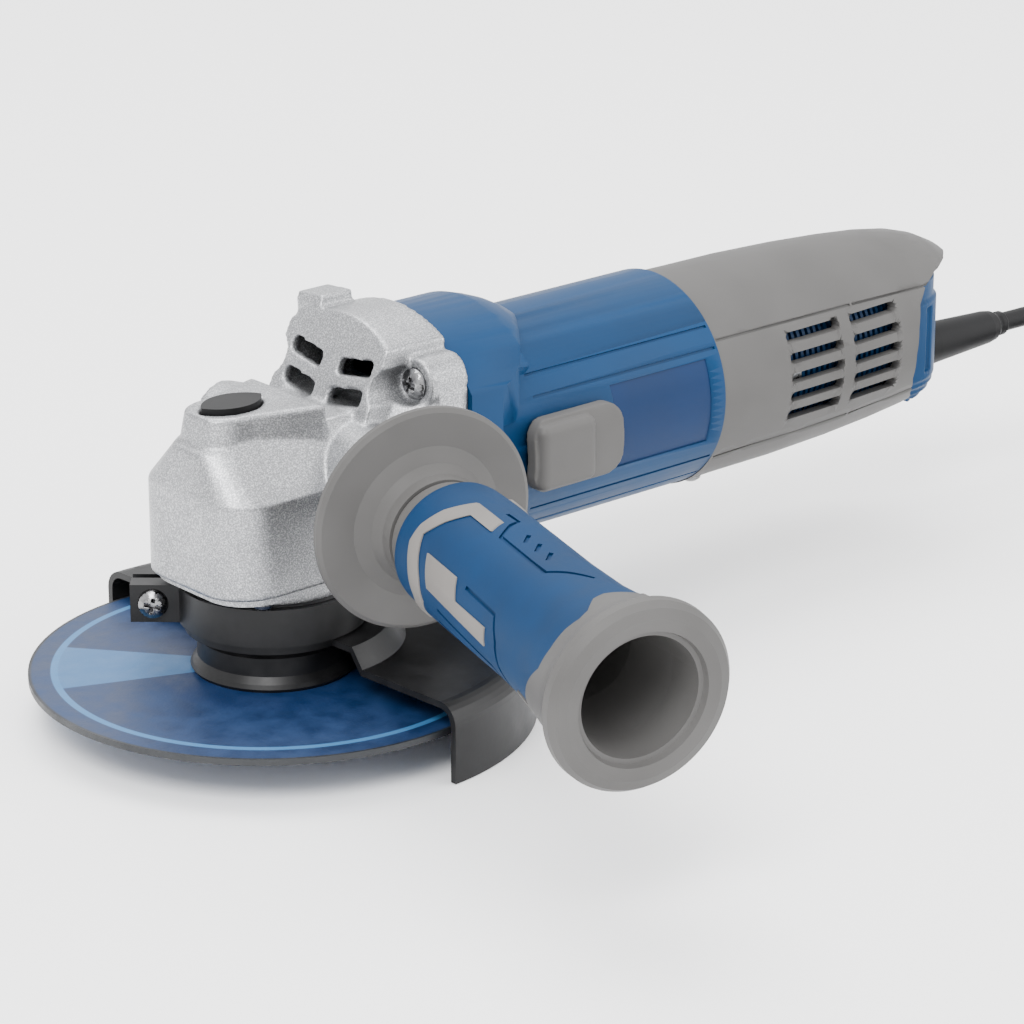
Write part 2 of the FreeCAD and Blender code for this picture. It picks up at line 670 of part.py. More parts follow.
# ---------------------------------------------------------------- motor

node(shafted("armature_shaft", [
    (12.0, 0), (12.0, 2.6), (19.0, 2.6), (19.0, 5.0), (40.0, 5.0), (40.0, 4.9),
    (126.0, 4.9), (126.0, 4.0), (138.0, 4.0), (138.0, 0),
]), "armature_shaft")


def fan_shape():
    """The cooling fan: a back plate, a hub and eighteen blades."""
    plate_disc = along_axle(size("fan_radius"), 53.0, 55.0)
    hub = along_axle(9.0, 42.0, 55.0)
    blades = []
    for blade in range(18):
        vane = Part.makeBox(11.0, 1.4, size("fan_radius - 8.8"), FreeCAD.Vector(42.5, -0.7, 8.6))
        vane.rotate(FreeCAD.Vector(0, 0, 0), FreeCAD.Vector(1, 0, 0), 20.0 * blade)
        vane.translate(vector(0, 0, "axle"))
        blades.append(vane)
    fan = plate_disc.multiFuse([hub] + blades)
    return fan.cut(along_axle(4.9, 30.0, 60.0)).removeSplitter()


node(shaped("cooling_fan", fan_shape()), "cooling_fan")


def armature_core_shape():
    """The laminated core with twelve slots for its windings."""
    core = along_axle(12.9, 68.0, 104.0).cut(along_axle(4.9, 60.0, 110.0))
    slots = []
    for slot in range(12):
        groove = Part.makeBox(40.0, 1.8, 5.0, FreeCAD.Vector(66.0, -0.9, 8.6))
        groove.rotate(FreeCAD.Vector(0, 0, 0), FreeCAD.Vector(1, 0, 0), 30.0 * slot)
        groove.translate(vector(0, 0, "axle"))
        slots.append(groove)
    return core.cut(Part.makeCompound(slots))


node(shaped("armature_core", armature_core_shape()), "armature_core")
windings = [shafted("winding_front", [(60.0, 4.9), (68.0, 4.9), (68.0, 12.0), (62.5, 11.4), (60.0, 8.0)]),
            shafted("winding_rear", [(104.0, 4.9), (111.0, 4.9), (111.0, 7.4), (108.5, 10.4), (104.0, 12.0)])]
node(group("armature_windings", windings), "armature_windings")
node(collar_on_axle("commutator", 4.9, 9.0, 111.5, 124.0), "commutator")


def stator_shape():
    """The field core: a laminated ring with two pole pieces and two flats."""
    body = along_axle(22.3, 68.0, 104.0).cut(along_axle(18.2, 60.0, 110.0))
    poles = along_axle(18.3, 68.0, 104.0).cut(along_axle(13.6, 60.0, 110.0))
    poles = poles.common(Part.makeBox(60.0, 16.0, 60.0, vector(60.0, -8.0, "axle - 30")))
    return body.fuse(poles).removeSplitter()


node(shaped("stator_core", stator_shape()), "stator_core")
field_coils = []
for side in (-1, 1):
    coil = along_axle(18.0, 62.0, 110.0).cut(along_axle(14.2, 60.0, 112.0))
    low_edge = -17.0 if side < 0 else 9.0
    coil = coil.common(Part.makeBox(60.0, 8.0, 36.0, vector(60.0, low_edge, "axle - 18")))
    field_coils.append(coil)
node(shaped("field_windings", Part.makeCompound(field_coils)), "field_windings")
node(collar_on_axle("air_baffle", 18.0, 24.7, 57.2, 59.0), "air_baffle")

# ---------------------------------------------------------------- motor housing

SWITCH_Z = 55.0
COVER_SCREW_X = 126.0
COVER_SCREW_Y = 9.0
COVER_SCREW_Z = 29.9


BULGE_PLAN = [(38.0, 27.5), (47.5, 27.5), (51.5, 26.6), (55.0, 24.6), (59.0, 20.4), (64.0, 13.6), (69.0, 6.5),
              (73.0, 3.0)]
SWITCH_CHANNEL = (47.6, 90.0)


def bulge_block():
    """The fan housing: a drum with flattened flanks whose rear edge arches from side to side."""
    drum_line = [("seam", 0), ("seam", "fan_radius_out"), ("bulge_end", "fan_radius_out"),
                 (61.5, "fan_radius_out - 1.0"), (65.0, 31.2), (68.0, 29.6), (70.6, 27.6), (72.0, 26.0), (72.0, 0)]
    points = [vector(x, 0, r) for x, r in drum_line]
    drum = Part.Face(Part.makePolygon(points + points[:1])).revolve(FreeCAD.Vector(), FreeCAD.Vector(1, 0, 0), 360)
    drum.translate(vector(0, 0, "axle"))
    near = [FreeCAD.Vector(x, y, 0) for x, y in BULGE_PLAN]
    far = [FreeCAD.Vector(x, -y, 0) for x, y in reversed(BULGE_PLAN)]
    plan = Part.Face(Part.makePolygon(near + far + near[:1])).extrude(FreeCAD.Vector(0, 0, 120))
    return drum.common(plan)


def motor_housing_shape():
    """The fan housing and barrel in one moulding, with an inner collar for the rear bearing."""
    seam = size("seam")
    bore = size("barrel - wall")
    shell = bulge_block().fuse(along_axle(size("barrel"), seam, size("tail_start")))
    shell = shell.cut(along_axle(bore, seam - 1.0, size("tail_start + 1")))
    hollow = along_axle(30.6, seam - 1.0, 56.0)
    hollow = hollow.common(Part.makeBox(60, 47.0, 120, FreeCAD.Vector(30, -23.5, 0)))
    bosses = []
    for y, z in lug_points():
        boss = Part.makeCylinder(4.4, 20.0, FreeCAD.Vector(seam, y, z), FreeCAD.Vector(1, 0, 0))
        bosses.append(boss.common(along_axle(33.0, 30.0, 80.0)))
    shell = shell.cut(hollow).multiFuse(bosses).cut(along_axle(bore, seam - 1.0, 60.0))
    sleeve = along_axle(22.4, size("tail_start") - 4.0, 138.5).cut(along_axle(20.2, 100.0, 129.5))
    sleeve = sleeve.cut(along_axle(11.0, 129.0, 137.0)).cut(along_axle(5.5, 129.0, 140.0))
    ribs = []
    for turn in (45, 135, 225, 315):
        rib = Part.makeBox(9.0, 2.4, 5.2, FreeCAD.Vector(size("tail_start") - 9.0, -1.2, 20.6))
        rib.rotate(FreeCAD.Vector(), FreeCAD.Vector(1, 0, 0), turn)
        rib.translate(vector(0, 0, "axle"))
        ribs.append(rib)
    shell = shell.multiFuse([sleeve] + ribs)
    spaces = []
    for y, z in lug_points():
        spaces.append(Part.makeCylinder(2.0, 17.0, FreeCAD.Vector(seam - 1.0, y, z), FreeCAD.Vector(1, 0, 0)))
    spaces.append(Part.makeBox(22.0, 10.0, 5.8, FreeCAD.Vector(56.5, -31.0, SWITCH_Z - 2.9)))
    channel = Part.makeBox(SWITCH_CHANNEL[1] - SWITCH_CHANNEL[0], 40.0, 19.0,
                           FreeCAD.Vector(SWITCH_CHANNEL[0], -60.0, SWITCH_Z - 9.5))
    spaces.append(channel.cut(along_axle(size("barrel"), 30.0, 130.0)))
    spaces.append(Part.makeBox(80.0, 4.0, 8.0, FreeCAD.Vector(size("tail_start") - 6.0, -26.0, SWITCH_Z - 4.0)).common(
        along_axle(24.7, 100.0, 200.0)))
    spaces.append(Part.makeBox(12.6, 60.0, 10.6, FreeCAD.Vector(112.7, -30.0, size("axle") - 5.3)).common(
        along_axle(23.0, 100.0, 200.0)))
    for side in (-1, 1):
        spaces.append(Part.makeCylinder(1.6, 14.0, FreeCAD.Vector(COVER_SCREW_X, side * COVER_SCREW_Y, 26.0)))
    spaces.append(label_block(0.0, 0.4))
    return shell.cut(Part.makeCompound(spaces[:1]).multiFuse(spaces[1:])).removeSplitter()


PANEL = {"x0": 83.5, "x1": 115.5, "z0": 45.2, "z1": 66.2}


def label_block(inset, lift):
    """A block that follows the barrel's near side, where the plain panel lies."""
    block = Part.makeBox(PANEL["x1"] - PANEL["x0"] - 2 * inset, 40.0, PANEL["z1"] - PANEL["z0"] - 2 * inset,
                         FreeCAD.Vector(PANEL["x0"] + inset, -60.0, PANEL["z0"] + inset))
    shell = along_axle(size("barrel") + lift, 60.0, 130.0)
    return block.common(shell).cut(along_axle(size("barrel") - 0.9, 50.0, 140.0))


node(shaped("motor_housing", motor_housing_shape()), "motor_housing")
node(shaped("side_panel", label_block(0.12, -0.35)), "side_panel")


SWITCH_X = (54.8, 83.2)


def switch_button_shape():
    """The sliding switch: a base that hugs the barrel, a raised pad at its front and a foot through its slot."""
    front, rear = SWITCH_X
    base = Part.makeBox(rear - front, 20.0, 18.0, FreeCAD.Vector(front, -40.0, SWITCH_Z - 9.0))
    base = base.makeFillet(5.0, [edge for edge in base.Edges
                                 if abs(edge.tangentAt(edge.FirstParameter).y) > 0.9])
    base = base.common(along_axle(size("barrel") + 3.4, 50.0, 90.0))
    pad = Part.makeBox(17.6, 13.6, 16.0, FreeCAD.Vector(front + 0.8, -32.6, SWITCH_Z - 8.0))
    pad = pad.makeFillet(2.2, [edge for edge in pad.Edges if edge.BoundBox.YMin < -32.5 or edge.BoundBox.YLength > 9])
    cap = base.fuse(pad).cut(along_axle(size("barrel") + 0.35, 40.0, 100.0))
    foot = Part.makeBox(10.0, 8.0, 5.0, FreeCAD.Vector(65.0, -30.0, SWITCH_Z - 2.5))
    foot = foot.common(Part.makeBox(60, 5.8, 60, FreeCAD.Vector(40, -29.4, 30)))
    return cap.fuse(foot).removeSplitter()


node(shaped("switch_button", switch_button_shape()), "switch_button")
node(box("switch_rod_bar", (66.0, -23.6, SWITCH_Z - 2.5), (150.0, -22.8, SWITCH_Z + 2.5)), "switch_rod")

# ---------------------------------------------------------------- brushes

for side, word, turn in ((-1, "left", ALONG_LEFT), (1, "right", ALONG_RIGHT)):
    near = 9.4
    inner_tube = 10.2
    outer_tube = 22.0

    def across(name, x_half, z_half, start, end):
        """A block that runs out sideways from the commutator."""
        first = min(side * start, side * end)
        last = max(side * start, side * end)
        return box(name, (119.0 - x_half, first, "axle - %s" % z_half),
                   (119.0 + x_half, last, "axle + %s" % z_half))

    holder = cut("holder_%s" % word, across("tube_%s" % word, 5.0, 4.2, inner_tube, outer_tube),
                 [across("bore_%s" % word, 3.45, 3.05, inner_tube - 1.0, outer_tube + 1.0)])
    node(holder, "brush_holder_%s" % word)
    node(across("carbon_%s" % word, 3.4, 3.0, near, 15.4), "carbon_brush_%s" % word)
    spring = cut("coil_%s" % word, cylinder("wire_out_%s" % word, 2.6, 6.3, (119.0, side * 15.5, "axle"), turn),
                 [cylinder("wire_in_%s" % word, 1.9, 8.0, (119.0, side * 15.0, "axle"), turn)])
    node(spring, "brush_spring_%s" % word)

# ---------------------------------------------------------------- rear cover

TAIL_PROFILE = [(120.0, 26.9), (130.0, 26.7), (150.0, 26.6), (170.0, 25.9), (186.0, 24.9), (198.0, 23.8),
                (207.0, 22.4), (213.0, 20.7), (218.0, 18.4), (222.0, 15.4), (225.0, 11.6), (226.6, 7.0),
                (227.0, 0.0)]


def tail_solid(inset, start):
    """The round tail, drawn in by a wall's thickness."""
    profile = [(max(x, start) if index == 0 else x - inset * (index > 6), max(r - inset, 0.0))
               for index, (x, r) in enumerate(TAIL_PROFILE)]
    profile = [point for index, point in enumerate(profile) if index == 0 or point[0] > profile[0][0]]
    cleaned = [point for point in profile[:-1] if point[1] > 0.0] + [(profile[-1][0], 0.0)]
    points = [FreeCAD.Vector(x, 0, r) for x, r in cleaned] + [FreeCAD.Vector(cleaned[0][0], 0, 0)]
    solid = Part.Face(Part.makePolygon(points + points[:1])).revolve(FreeCAD.Vector(), FreeCAD.Vector(1, 0, 0), 360)
    solid.translate(vector(0, 0, "axle - tail_drop"))
    return solid


TAIL_EDGE = [(240.0, 71.0), (214.0, 70.6), (205.0, 69.2), (198.5, 67.0), (194.4, 63.6), (192.4, 58.0), (191.6, 51.0),
             (192.6, 44.0), (196.0, 38.4), (200.4, 34.6), (203.4, 31.0), (204.4, 26.0), (204.6, 9.0), (240.0, 9.0)]


def tail_cutback(gap):
    """The open end of the rear cover, seen from the side: its walls stop short under a long visor."""
    corners = [FreeCAD.Vector(x - gap, -60, z + gap) for x, z in TAIL_EDGE]
    return Part.Face(Part.makePolygon(corners + corners[:1])).extrude(FreeCAD.Vector(0, 120, 0))


def vent_rows():
    """The middle height of each row of slots in the rear cover."""
    return [45.4 + 4.95 * row for row in range(5)]


CLAMP_X = 186.0


def rear_cover_shape():
    """The tail's shell with ten air slots on each side and the recess at its end."""
    shell = tail_solid(0.0, 120.0).cut(tail_solid(2.4, 119.0)).cut(tail_cutback(0.0))
    slots = []
    for z in vent_rows():
        for start, end in ((143.8, 163.0), (167.0, 184.6)):
            middle = Part.makeBox(end - start - 2.6, 80.0, 2.6, FreeCAD.Vector(start + 1.3, -40.0, z - 1.3))
            slots.append(middle)
            for x in (start + 1.3, end - 1.3):
                slots.append(Part.makeCylinder(1.3, 80.0, FreeCAD.Vector(x, -40.0, z), FreeCAD.Vector(0, 1, 0)))
    saddle = Part.makeBox(7.0, 20.0, size("relief_z - cord") - 26.0, FreeCAD.Vector(CLAMP_X - 3.5, -10.0, 26.0))
    shell = shell.fuse(saddle.common(tail_solid(1.2, 119.0)))
    for side in (-1, 1):
        slots.append(Part.makeCylinder(1.7, 12.0, FreeCAD.Vector(COVER_SCREW_X, side * COVER_SCREW_Y, 22.0)))
        slots.append(Part.makeCylinder(3.1, COVER_SCREW_Z - 20.0,
                                       FreeCAD.Vector(COVER_SCREW_X, side * COVER_SCREW_Y, 20.0)))
        slots.append(Part.makeCylinder(1.4, 7.0, vector(CLAMP_X, side * 7.0, "relief_z - cord - 6")))
    return shell.cut(Part.makeCompound(slots[:1]).multiFuse(slots[1:]))


node(shaped("rear_cover", rear_cover_shape()), "rear_cover")


def grille_shape():
    """The ribbed inner sleeve seen through the air slots: one curved comb on each side."""
    sleeve = tail_solid(4.1, 140.0).cut(tail_solid(5.0, 130.0))
    sleeve = sleeve.common(Part.makeBox(47.0, 80.0, 28.0, FreeCAD.Vector(141.0, -40.0, 41.4)))
    gaps = []
    for step in range(22):
        gaps.append(Part.makeBox(1.0, 80.0, 25.0, FreeCAD.Vector(142.4 + 2.0 * step, -40.0, 43.0)))
    return sleeve.cut(Part.makeCompound(gaps))


node(shaped("tail_grille", grille_shape()), "tail_grille")


def drum(radius, low, high, middle=196.5):
    """An upright round column in the tail's end."""
    return Part.makeCylinder(radius, high - low, FreeCAD.Vector(middle, 0, low))


def tail_cap_shape():
    """The end piece: a hollow upright drum with a slot in each flank, and a skirt inside the cover's wall."""
    skirt = tail_solid(2.5, 119.0).cut(tail_solid(4.4, 119.0))
    skirt = skirt.common(Part.makeBox(60, 80, 80, FreeCAD.Vector(189.6, -40, 10))).cut(tail_cutback(0.0))
    skirt = skirt.fuse(tail_solid(2.5, 119.0).common(
        Part.makeBox(3.4, 80, 80, FreeCAD.Vector(189.6, -40, 10))))
    body = drum(19.0, 41.0, 61.8).fuse(drum(18.2, 61.8, 67.4))
    for step, radius in enumerate((18.6, 17.6, 15.8, 13.4)):
        body = body.fuse(drum(radius, 39.0 - 2.0 * step, 41.0))
    body = body.common(tail_solid(2.5, 119.0).fuse(tail_cutback(0.0)))
    body = body.common(Part.makeBox(60, 60, 60, FreeCAD.Vector(189.6, -30, 20)))
    body = body.fuse(skirt).cut(drum(11.0, 36.2, 64.6)).cut(drum(16.4, 40.2, 64.6)).cut(
        Part.makeBox(12.0, 28.0, 28.0, FreeCAD.Vector(186.0, -14.0, 36.6)))
    for side in (-1, 1):
        slot = Part.makeBox(3.0, 2.0, 17.6, FreeCAD.Vector(-1.5, 17.9, 42.8))
        slot.rotate(FreeCAD.Vector(), FreeCAD.Vector(0, 0, 1), -19.0)
        if side < 0:
            slot = slot.mirror(FreeCAD.Vector(), FreeCAD.Vector(0, 1, 0))
        slot.translate(FreeCAD.Vector(196.5, 0, 0))
        body = body.cut(slot)
    hole = Part.makeCylinder(5.0, 40.0, vector(200.0, 0, "relief_z"), FreeCAD.Vector(1, 0, 0))
    return body.cut(hole).removeSplitter()


node(shaped("tail_cap", tail_cap_shape()), "tail_cap")

cover_screws = [pan_screw("cover_screw", 1.6, 8.0, 2.8, (COVER_SCREW_X, side * COVER_SCREW_Y, COVER_SCREW_Z))
                for side in (-1, 1)]
node(group("cover_screws", cover_screws), "cover_screws")

# ---------------------------------------------------------------- electrics

node(box("switch_case", (151.0, -18.0, "axle - 8"), (181.0, -4.0, "axle + 8")), "switch_module")
node(box("capacitor_case", (154.0, 2.0, "axle - 8"), (174.0, 10.0, "axle + 6")), "capacitor")

relief = turned("relief_outline", [
    ("cord", 207.0),
    (4.9, 207.0),
    (4.9, 215.9),
    (5.7, 216.2),
    (5.6, 222.0),
    (5.0, 234.0),
    (4.5, 244.0),
    (4.1, 246.4),
    (3.3, 247.8),
    (3.1, 248.4),
    (3.3, 249.0),
    (3.3, "relief_end - 0.6"),
    (2.9, "relief_end"),
    ("cord", "relief_end"),
], "V_Axis", (0, 0, "relief_z"), ALONG_X)
node(relief, "strain_relief")
clamp = box("clamp_bar", (CLAMP_X - 3.4, -10.0, "relief_z + cord"), (CLAMP_X + 3.4, 10.0, "relief_z + cord + 2.6"))
clamp_holes = [cylinder("clamp_hole", 1.4, 9.0, (CLAMP_X, side * 7.0, "relief_z")) for side in (-1, 1)]
node(cut("cord_clamp", clamp, clamp_holes), "cord_clamp")
node(cylinder("lead_inside", "cord", "relief_end - 180", (180.0, 0, "relief_z"), ALONG_X), "lead_end")
clamp_screws = [pan_screw("clamp_screw", 1.4, 12.0, 2.4, (CLAMP_X, side * 7.0, "relief_z + cord + 2.6"), DOWN)
                for side in (-1, 1)]
node(group("clamp_screws", clamp_screws), "clamp_screws")

# ---------------------------------------------------------------- side handle

cant = math.radians(size("handle_cant"))
handle_turn = FreeCAD.Rotation(FreeCAD.Vector(0, 0, 1), handle_way(-1))
handle_at = ("handle_x", 0, "handle_z")


def on_handle(name, outline):
    """A turned piece on the handle's axis: the outline is (radius, distance from the middle plane)."""
    return turned(name, outline, "V_Axis", handle_at, handle_turn)


node(on_handle("handle_stud", [(0, 19.2), ("stud", 19.2), ("stud", 78.0), (0, 78.0)]), "handle_stud")
node(on_handle("handle_flange", [
    ("stud", "boss_end + 0.3"),
    (9.5, "boss_end + 0.3"),
    (9.5, 43.6),
    (14.0, 45.2),
    ("hand_guard - 1.5", 46.4),
    ("hand_guard", 47.4),
    ("hand_guard", 48.6),
    ("hand_guard - 1.0", 49.4),
    (18.0, 50.2),
    (14.6, 52.0),
    (13.0, 54.4),
    (12.6, 57.0),
    ("stud", 57.0),
]), "handle_flange")
node(on_handle("handle_core", [
    ("stud", 57.4),
    (12.0, 57.4),
    (12.6, 58.4),
    (12.6, 128.4),
    (16.9, 131.6),
    (17.7, 137.0),
    (18.6, 140.6),
    (20.4, 143.0),
    (21.4, 145.0),
    (21.3, 147.0),
    (20.2, 148.6),
    (18.0, 149.4),
    (15.2, 149.0),
    (14.7, 147.6),
    (13.7, 147.4),
    (13.0, 138.0),
    (10.8, 124.0),
    (10.8, 86.0),
    ("stud", 86.0),
]), "handle_core")
node(on_handle("handle_grip", [
    (12.6, 63.0),
    (14.2, 63.2),
    (15.0, 65.0),
    (15.3, 78.0),
    (15.2, 108.0),
    (15.8, 122.0),
    (16.8, 131.2),
    (12.6, 127.9),
]), "handle_grip")

# ---------------------------------------------------------------- mains lead

FLOOR = size("deck - guard_drop")
LEAD = size("cord")
LEAD_ROUTE = [
    (251.0, 0.0, 42.2),
    (276.0, 0.5, 42.2),
    (299.0, -0.8, 31.6),
    (315.0, -4.0, 12.6),
    (333.0, -12.5, 0.6),
    (346.0, -33.0, 0.6),
    (346.5, -52.0, 0.6),
]
PLUG_ROUTE = [
    (313.0, -80.0, 16.2),
    (299.0, -80.4, 15.4),
    (285.0, -81.4, 9.6),
    (271.0, -82.0, 7.2),
]
COIL_MIDDLE = (310.5, -44.0)
COIL_INNER = 24.0
COIL_OUTER = 36.0
COIL_LAYERS = 4


def rounded_path(points):
    """Straight runs joined by tangent arcs, each as large as its two runs allow."""
    corners = [FreeCAD.Vector(*point) for point in points]
    edges = []
    start = corners[0]
    radii = []
    for before, corner, after in zip(corners, corners[1:], corners[2:]):
        inward = (before - corner)
        outward = (after - corner)
        shorter = min(inward.Length, outward.Length)
        turn = math.pi - inward.getAngle(outward)
        radius = 0.45 * shorter / math.tan(turn / 2)
        radii.append(round(radius, 1))
        reach = 0.45 * shorter
        first = corner + inward.normalize() * reach
        last = corner + outward.normalize() * reach
        bisector = (inward + outward).normalize()
        middle = corner + bisector * (math.hypot(radius, reach) - radius)
        edges.append(Part.LineSegment(start, first).toShape())
        edges.append(Part.Arc(first, middle, last).toShape())
        start = last
    edges.append(Part.LineSegment(start, corners[-1]).toShape())
    return Part.Wire(edges), radii


def lead_tube(points):
    """A round tube of the mains lead's diameter along a route."""
    path, radii = rounded_path(points)
    way = FreeCAD.Vector(*points[1]) - FreeCAD.Vector(*points[0])
    circle = Part.Wire([Part.Circle(FreeCAD.Vector(*points[0]), way, LEAD).toShape()])
    tube = path.makePipeShell([circle], True, False)
    wanted = math.pi * LEAD ** 2 * path.Length
    print("lead radii", radii, "length", round(path.Length, 1), "volume ratio", round(tube.Volume / wanted, 4))
    return tube


node(shaped("mains_lead", lead_tube(LEAD_ROUTE)), "mains_lead")
node(shaped("lead_tail", lead_tube(PLUG_ROUTE)), "lead_tail")

coil_height = COIL_LAYERS * 2 * LEAD
coil_base = FreeCAD.Vector(COIL_MIDDLE[0], COIL_MIDDLE[1], FLOOR)
coil = Part.makeCylinder(COIL_OUTER + LEAD, coil_height, coil_base)
coil = coil.cut(Part.makeCylinder(COIL_INNER - LEAD, coil_height, coil_base))
node(shaped("cord_coil", coil), "cord_coil")
TIE_WIDTH = 9.0
TIE_THICK = 1.0
tie_length = COIL_OUTER - COIL_INNER + 2 * LEAD + 2 * TIE_THICK
tie_low = FreeCAD.Vector(COIL_INNER - LEAD - TIE_THICK, -TIE_WIDTH / 2, FLOOR)
tie = Part.makeBox(tie_length, TIE_WIDTH, coil_height + TIE_THICK, tie_low)
tie_inside = Part.makeBox(tie_length - 2 * TIE_THICK, TIE_WIDTH, coil_height - TIE_THICK,
                          tie_low + FreeCAD.Vector(TIE_THICK, 0, TIE_THICK))
tie = tie.cut(tie_inside)
tie.rotate(FreeCAD.Vector(), FreeCAD.Vector(0, 0, 1), 110.0)
tie.translate(FreeCAD.Vector(COIL_MIDDLE[0], COIL_MIDDLE[1], 0))
node(shaped("coil_tie", tie), "coil_tie")

PLUG_X, PLUG_Y, PLUG_Z = PLUG_ROUTE[-1]
PLUG_LENGTH = 41.0


def plug_section(x, half_width, half_height):
    """A rounded section of the plug's body, across its axis."""
    flat = half_width - half_height
    points = []
    for side in (1, -1):
        for step in range(9):
            turn = math.pi * (step / 8 - 0.5)
            points.append(FreeCAD.Vector(x, PLUG_Y + side * (flat + half_height * math.cos(turn)),
                                         PLUG_Z + side * half_height * math.sin(turn)))
    return Part.makePolygon(points + points[:1])


plug_sections = [plug_section(PLUG_X - reach, half_width, half_height)
                 for reach, half_width, half_height in (
                     (0.0, 5.2, 4.6), (6.0, 8.6, 6.8), (14.0, 13.6, 8.6), (24.0, 17.4, 9.2),
                     (36.0, 18.2, 9.2), (PLUG_LENGTH, 17.4, 8.6))]
node(shaped("plug_body", Part.makeLoft(plug_sections, True, True)), "plug_body")
pins = []
for side in (-1, 1):
    pin_base = FreeCAD.Vector(PLUG_X - PLUG_LENGTH, PLUG_Y + side * 9.5, PLUG_Z)
    shank = Part.makeCylinder(2.4, 17.5, pin_base, FreeCAD.Vector(-1, 0, 0))
    nose = Part.makeCone(2.4, 1.5, 1.5, pin_base - FreeCAD.Vector(17.5, 0, 0), FreeCAD.Vector(-1, 0, 0))
    pins.append(shank.fuse(nose).removeSplitter())
node(shaped("plug_pins", Part.makeCompound(pins)), "plug_pins")

# ---------------------------------------------------------------- checks and files

document.recompute()
faults = [item.Name for item in document.Objects if {"Invalid", "Error"} & set(item.State)]
for item in nodes:
    if item.Shape.isNull() or not item.Shape.isValid():
        faults.append(item.Label)
if faults:
    raise RuntimeError("failed pieces: " + ", ".join(faults))
os.makedirs("parts", exist_ok=True)
for item in nodes:
    item.Shape.exportStep("parts/%s.step" % item.Label)
print(len(nodes), "pieces written")
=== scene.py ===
"""Looks of a corded angle grinder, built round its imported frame.

Lengths are in metres unless a name or a docstring says millimetres.
"""

import json
import logging
import math
from dataclasses import dataclass, field

import bpy
from mathutils import Matrix, Vector

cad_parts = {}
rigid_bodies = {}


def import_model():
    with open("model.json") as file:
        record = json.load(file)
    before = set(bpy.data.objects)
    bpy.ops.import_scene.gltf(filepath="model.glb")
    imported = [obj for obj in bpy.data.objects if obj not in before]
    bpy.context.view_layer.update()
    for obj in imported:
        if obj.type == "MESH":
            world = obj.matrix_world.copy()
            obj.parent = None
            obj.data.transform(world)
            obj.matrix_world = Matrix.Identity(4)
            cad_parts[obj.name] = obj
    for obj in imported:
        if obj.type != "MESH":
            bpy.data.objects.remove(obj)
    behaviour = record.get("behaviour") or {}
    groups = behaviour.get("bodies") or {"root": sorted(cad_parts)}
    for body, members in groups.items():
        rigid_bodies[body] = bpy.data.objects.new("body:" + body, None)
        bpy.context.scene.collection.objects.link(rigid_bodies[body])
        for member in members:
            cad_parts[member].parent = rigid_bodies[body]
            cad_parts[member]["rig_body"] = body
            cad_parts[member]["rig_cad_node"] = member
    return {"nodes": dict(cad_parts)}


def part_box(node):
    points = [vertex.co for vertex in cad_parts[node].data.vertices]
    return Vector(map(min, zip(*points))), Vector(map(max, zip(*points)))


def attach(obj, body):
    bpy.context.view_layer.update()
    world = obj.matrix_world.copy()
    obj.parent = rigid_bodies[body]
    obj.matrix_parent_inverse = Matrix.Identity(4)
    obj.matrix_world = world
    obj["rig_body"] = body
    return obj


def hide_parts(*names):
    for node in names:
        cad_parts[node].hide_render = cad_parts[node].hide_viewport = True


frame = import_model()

bpy.context.view_layer.update()
NODES = frame["nodes"]
MM = 0.001

# A moulded skin's fine texture breaks up its reflections, so it mirrors less than a smooth one.
MATT_SKIN_SPECULAR = 0.14
PAINTED_SKIN_SPECULAR = 0.26

log = logging.getLogger("angle_grinder")


# ------------------------------------------------------------------ colour and node helpers


def linear(hex_colour: str) -> tuple[float, float, float, float]:
    """Turns an sRGB hex colour into the linear values that shaders use.

    Args:
        hex_colour: six hex digits after a hash.

    Returns:
        Linear red, green and blue, with an alpha of 1.
    """
    channels = [int(hex_colour[at:at + 2], 16) / 255 for at in (1, 3, 5)]
    values = [c / 12.92 if c <= 0.04045 else ((c + 0.055) / 1.055) ** 2.4 for c in channels]
    return values[0], values[1], values[2], 1.0


def add_node(tree: bpy.types.NodeTree, kind: str, settings: dict | None = None,
             links: dict | None = None) -> bpy.types.Node:
    """Adds one shader node.

    Args:
        tree: the material's node tree.
        kind: the node's type name.
        settings: values for its sockets, by name or number, or for its own properties.
        links: output sockets to join to its inputs, by name or number.

    Returns:
        The new node.
    """
    node = tree.nodes.new(kind)
    for key, value in (settings or {}).items():
        if isinstance(key, int) or key in node.inputs:
            node.inputs[key].default_value = value
        else:
            setattr(node, key, value)
    for key, source in (links or {}).items():
        tree.links.new(source, node.inputs[key])
    return node


def per_mm(size_mm: float) -> float:
    """The noise scale whose grain is about this many millimetres across."""
    return 1.0 / (size_mm * MM)


class Finish:
    """A surface finish that makes its own material once and dresses pieces with it."""

    name: str = "finish"
    _made: dict[str, bpy.types.Material] = {}

    def shade(self, tree: bpy.types.NodeTree, shader: bpy.types.Node) -> None:
        """Adds this finish's nodes round the shader."""
        raise NotImplementedError

    def material(self) -> bpy.types.Material:
        """Returns this finish's material, made on first use."""
        if self.name not in Finish._made:
            made = bpy.data.materials.new(self.name)
            made.use_nodes = True
            self.shade(made.node_tree, made.node_tree.nodes["Principled BSDF"])
            Finish._made[self.name] = made
        return Finish._made[self.name]

    def dress(self, *pieces: bpy.types.Object) -> None:
        """Gives every piece this finish alone."""
        for piece in pieces:
            piece.data.materials.clear()
            piece.data.materials.append(self.material())


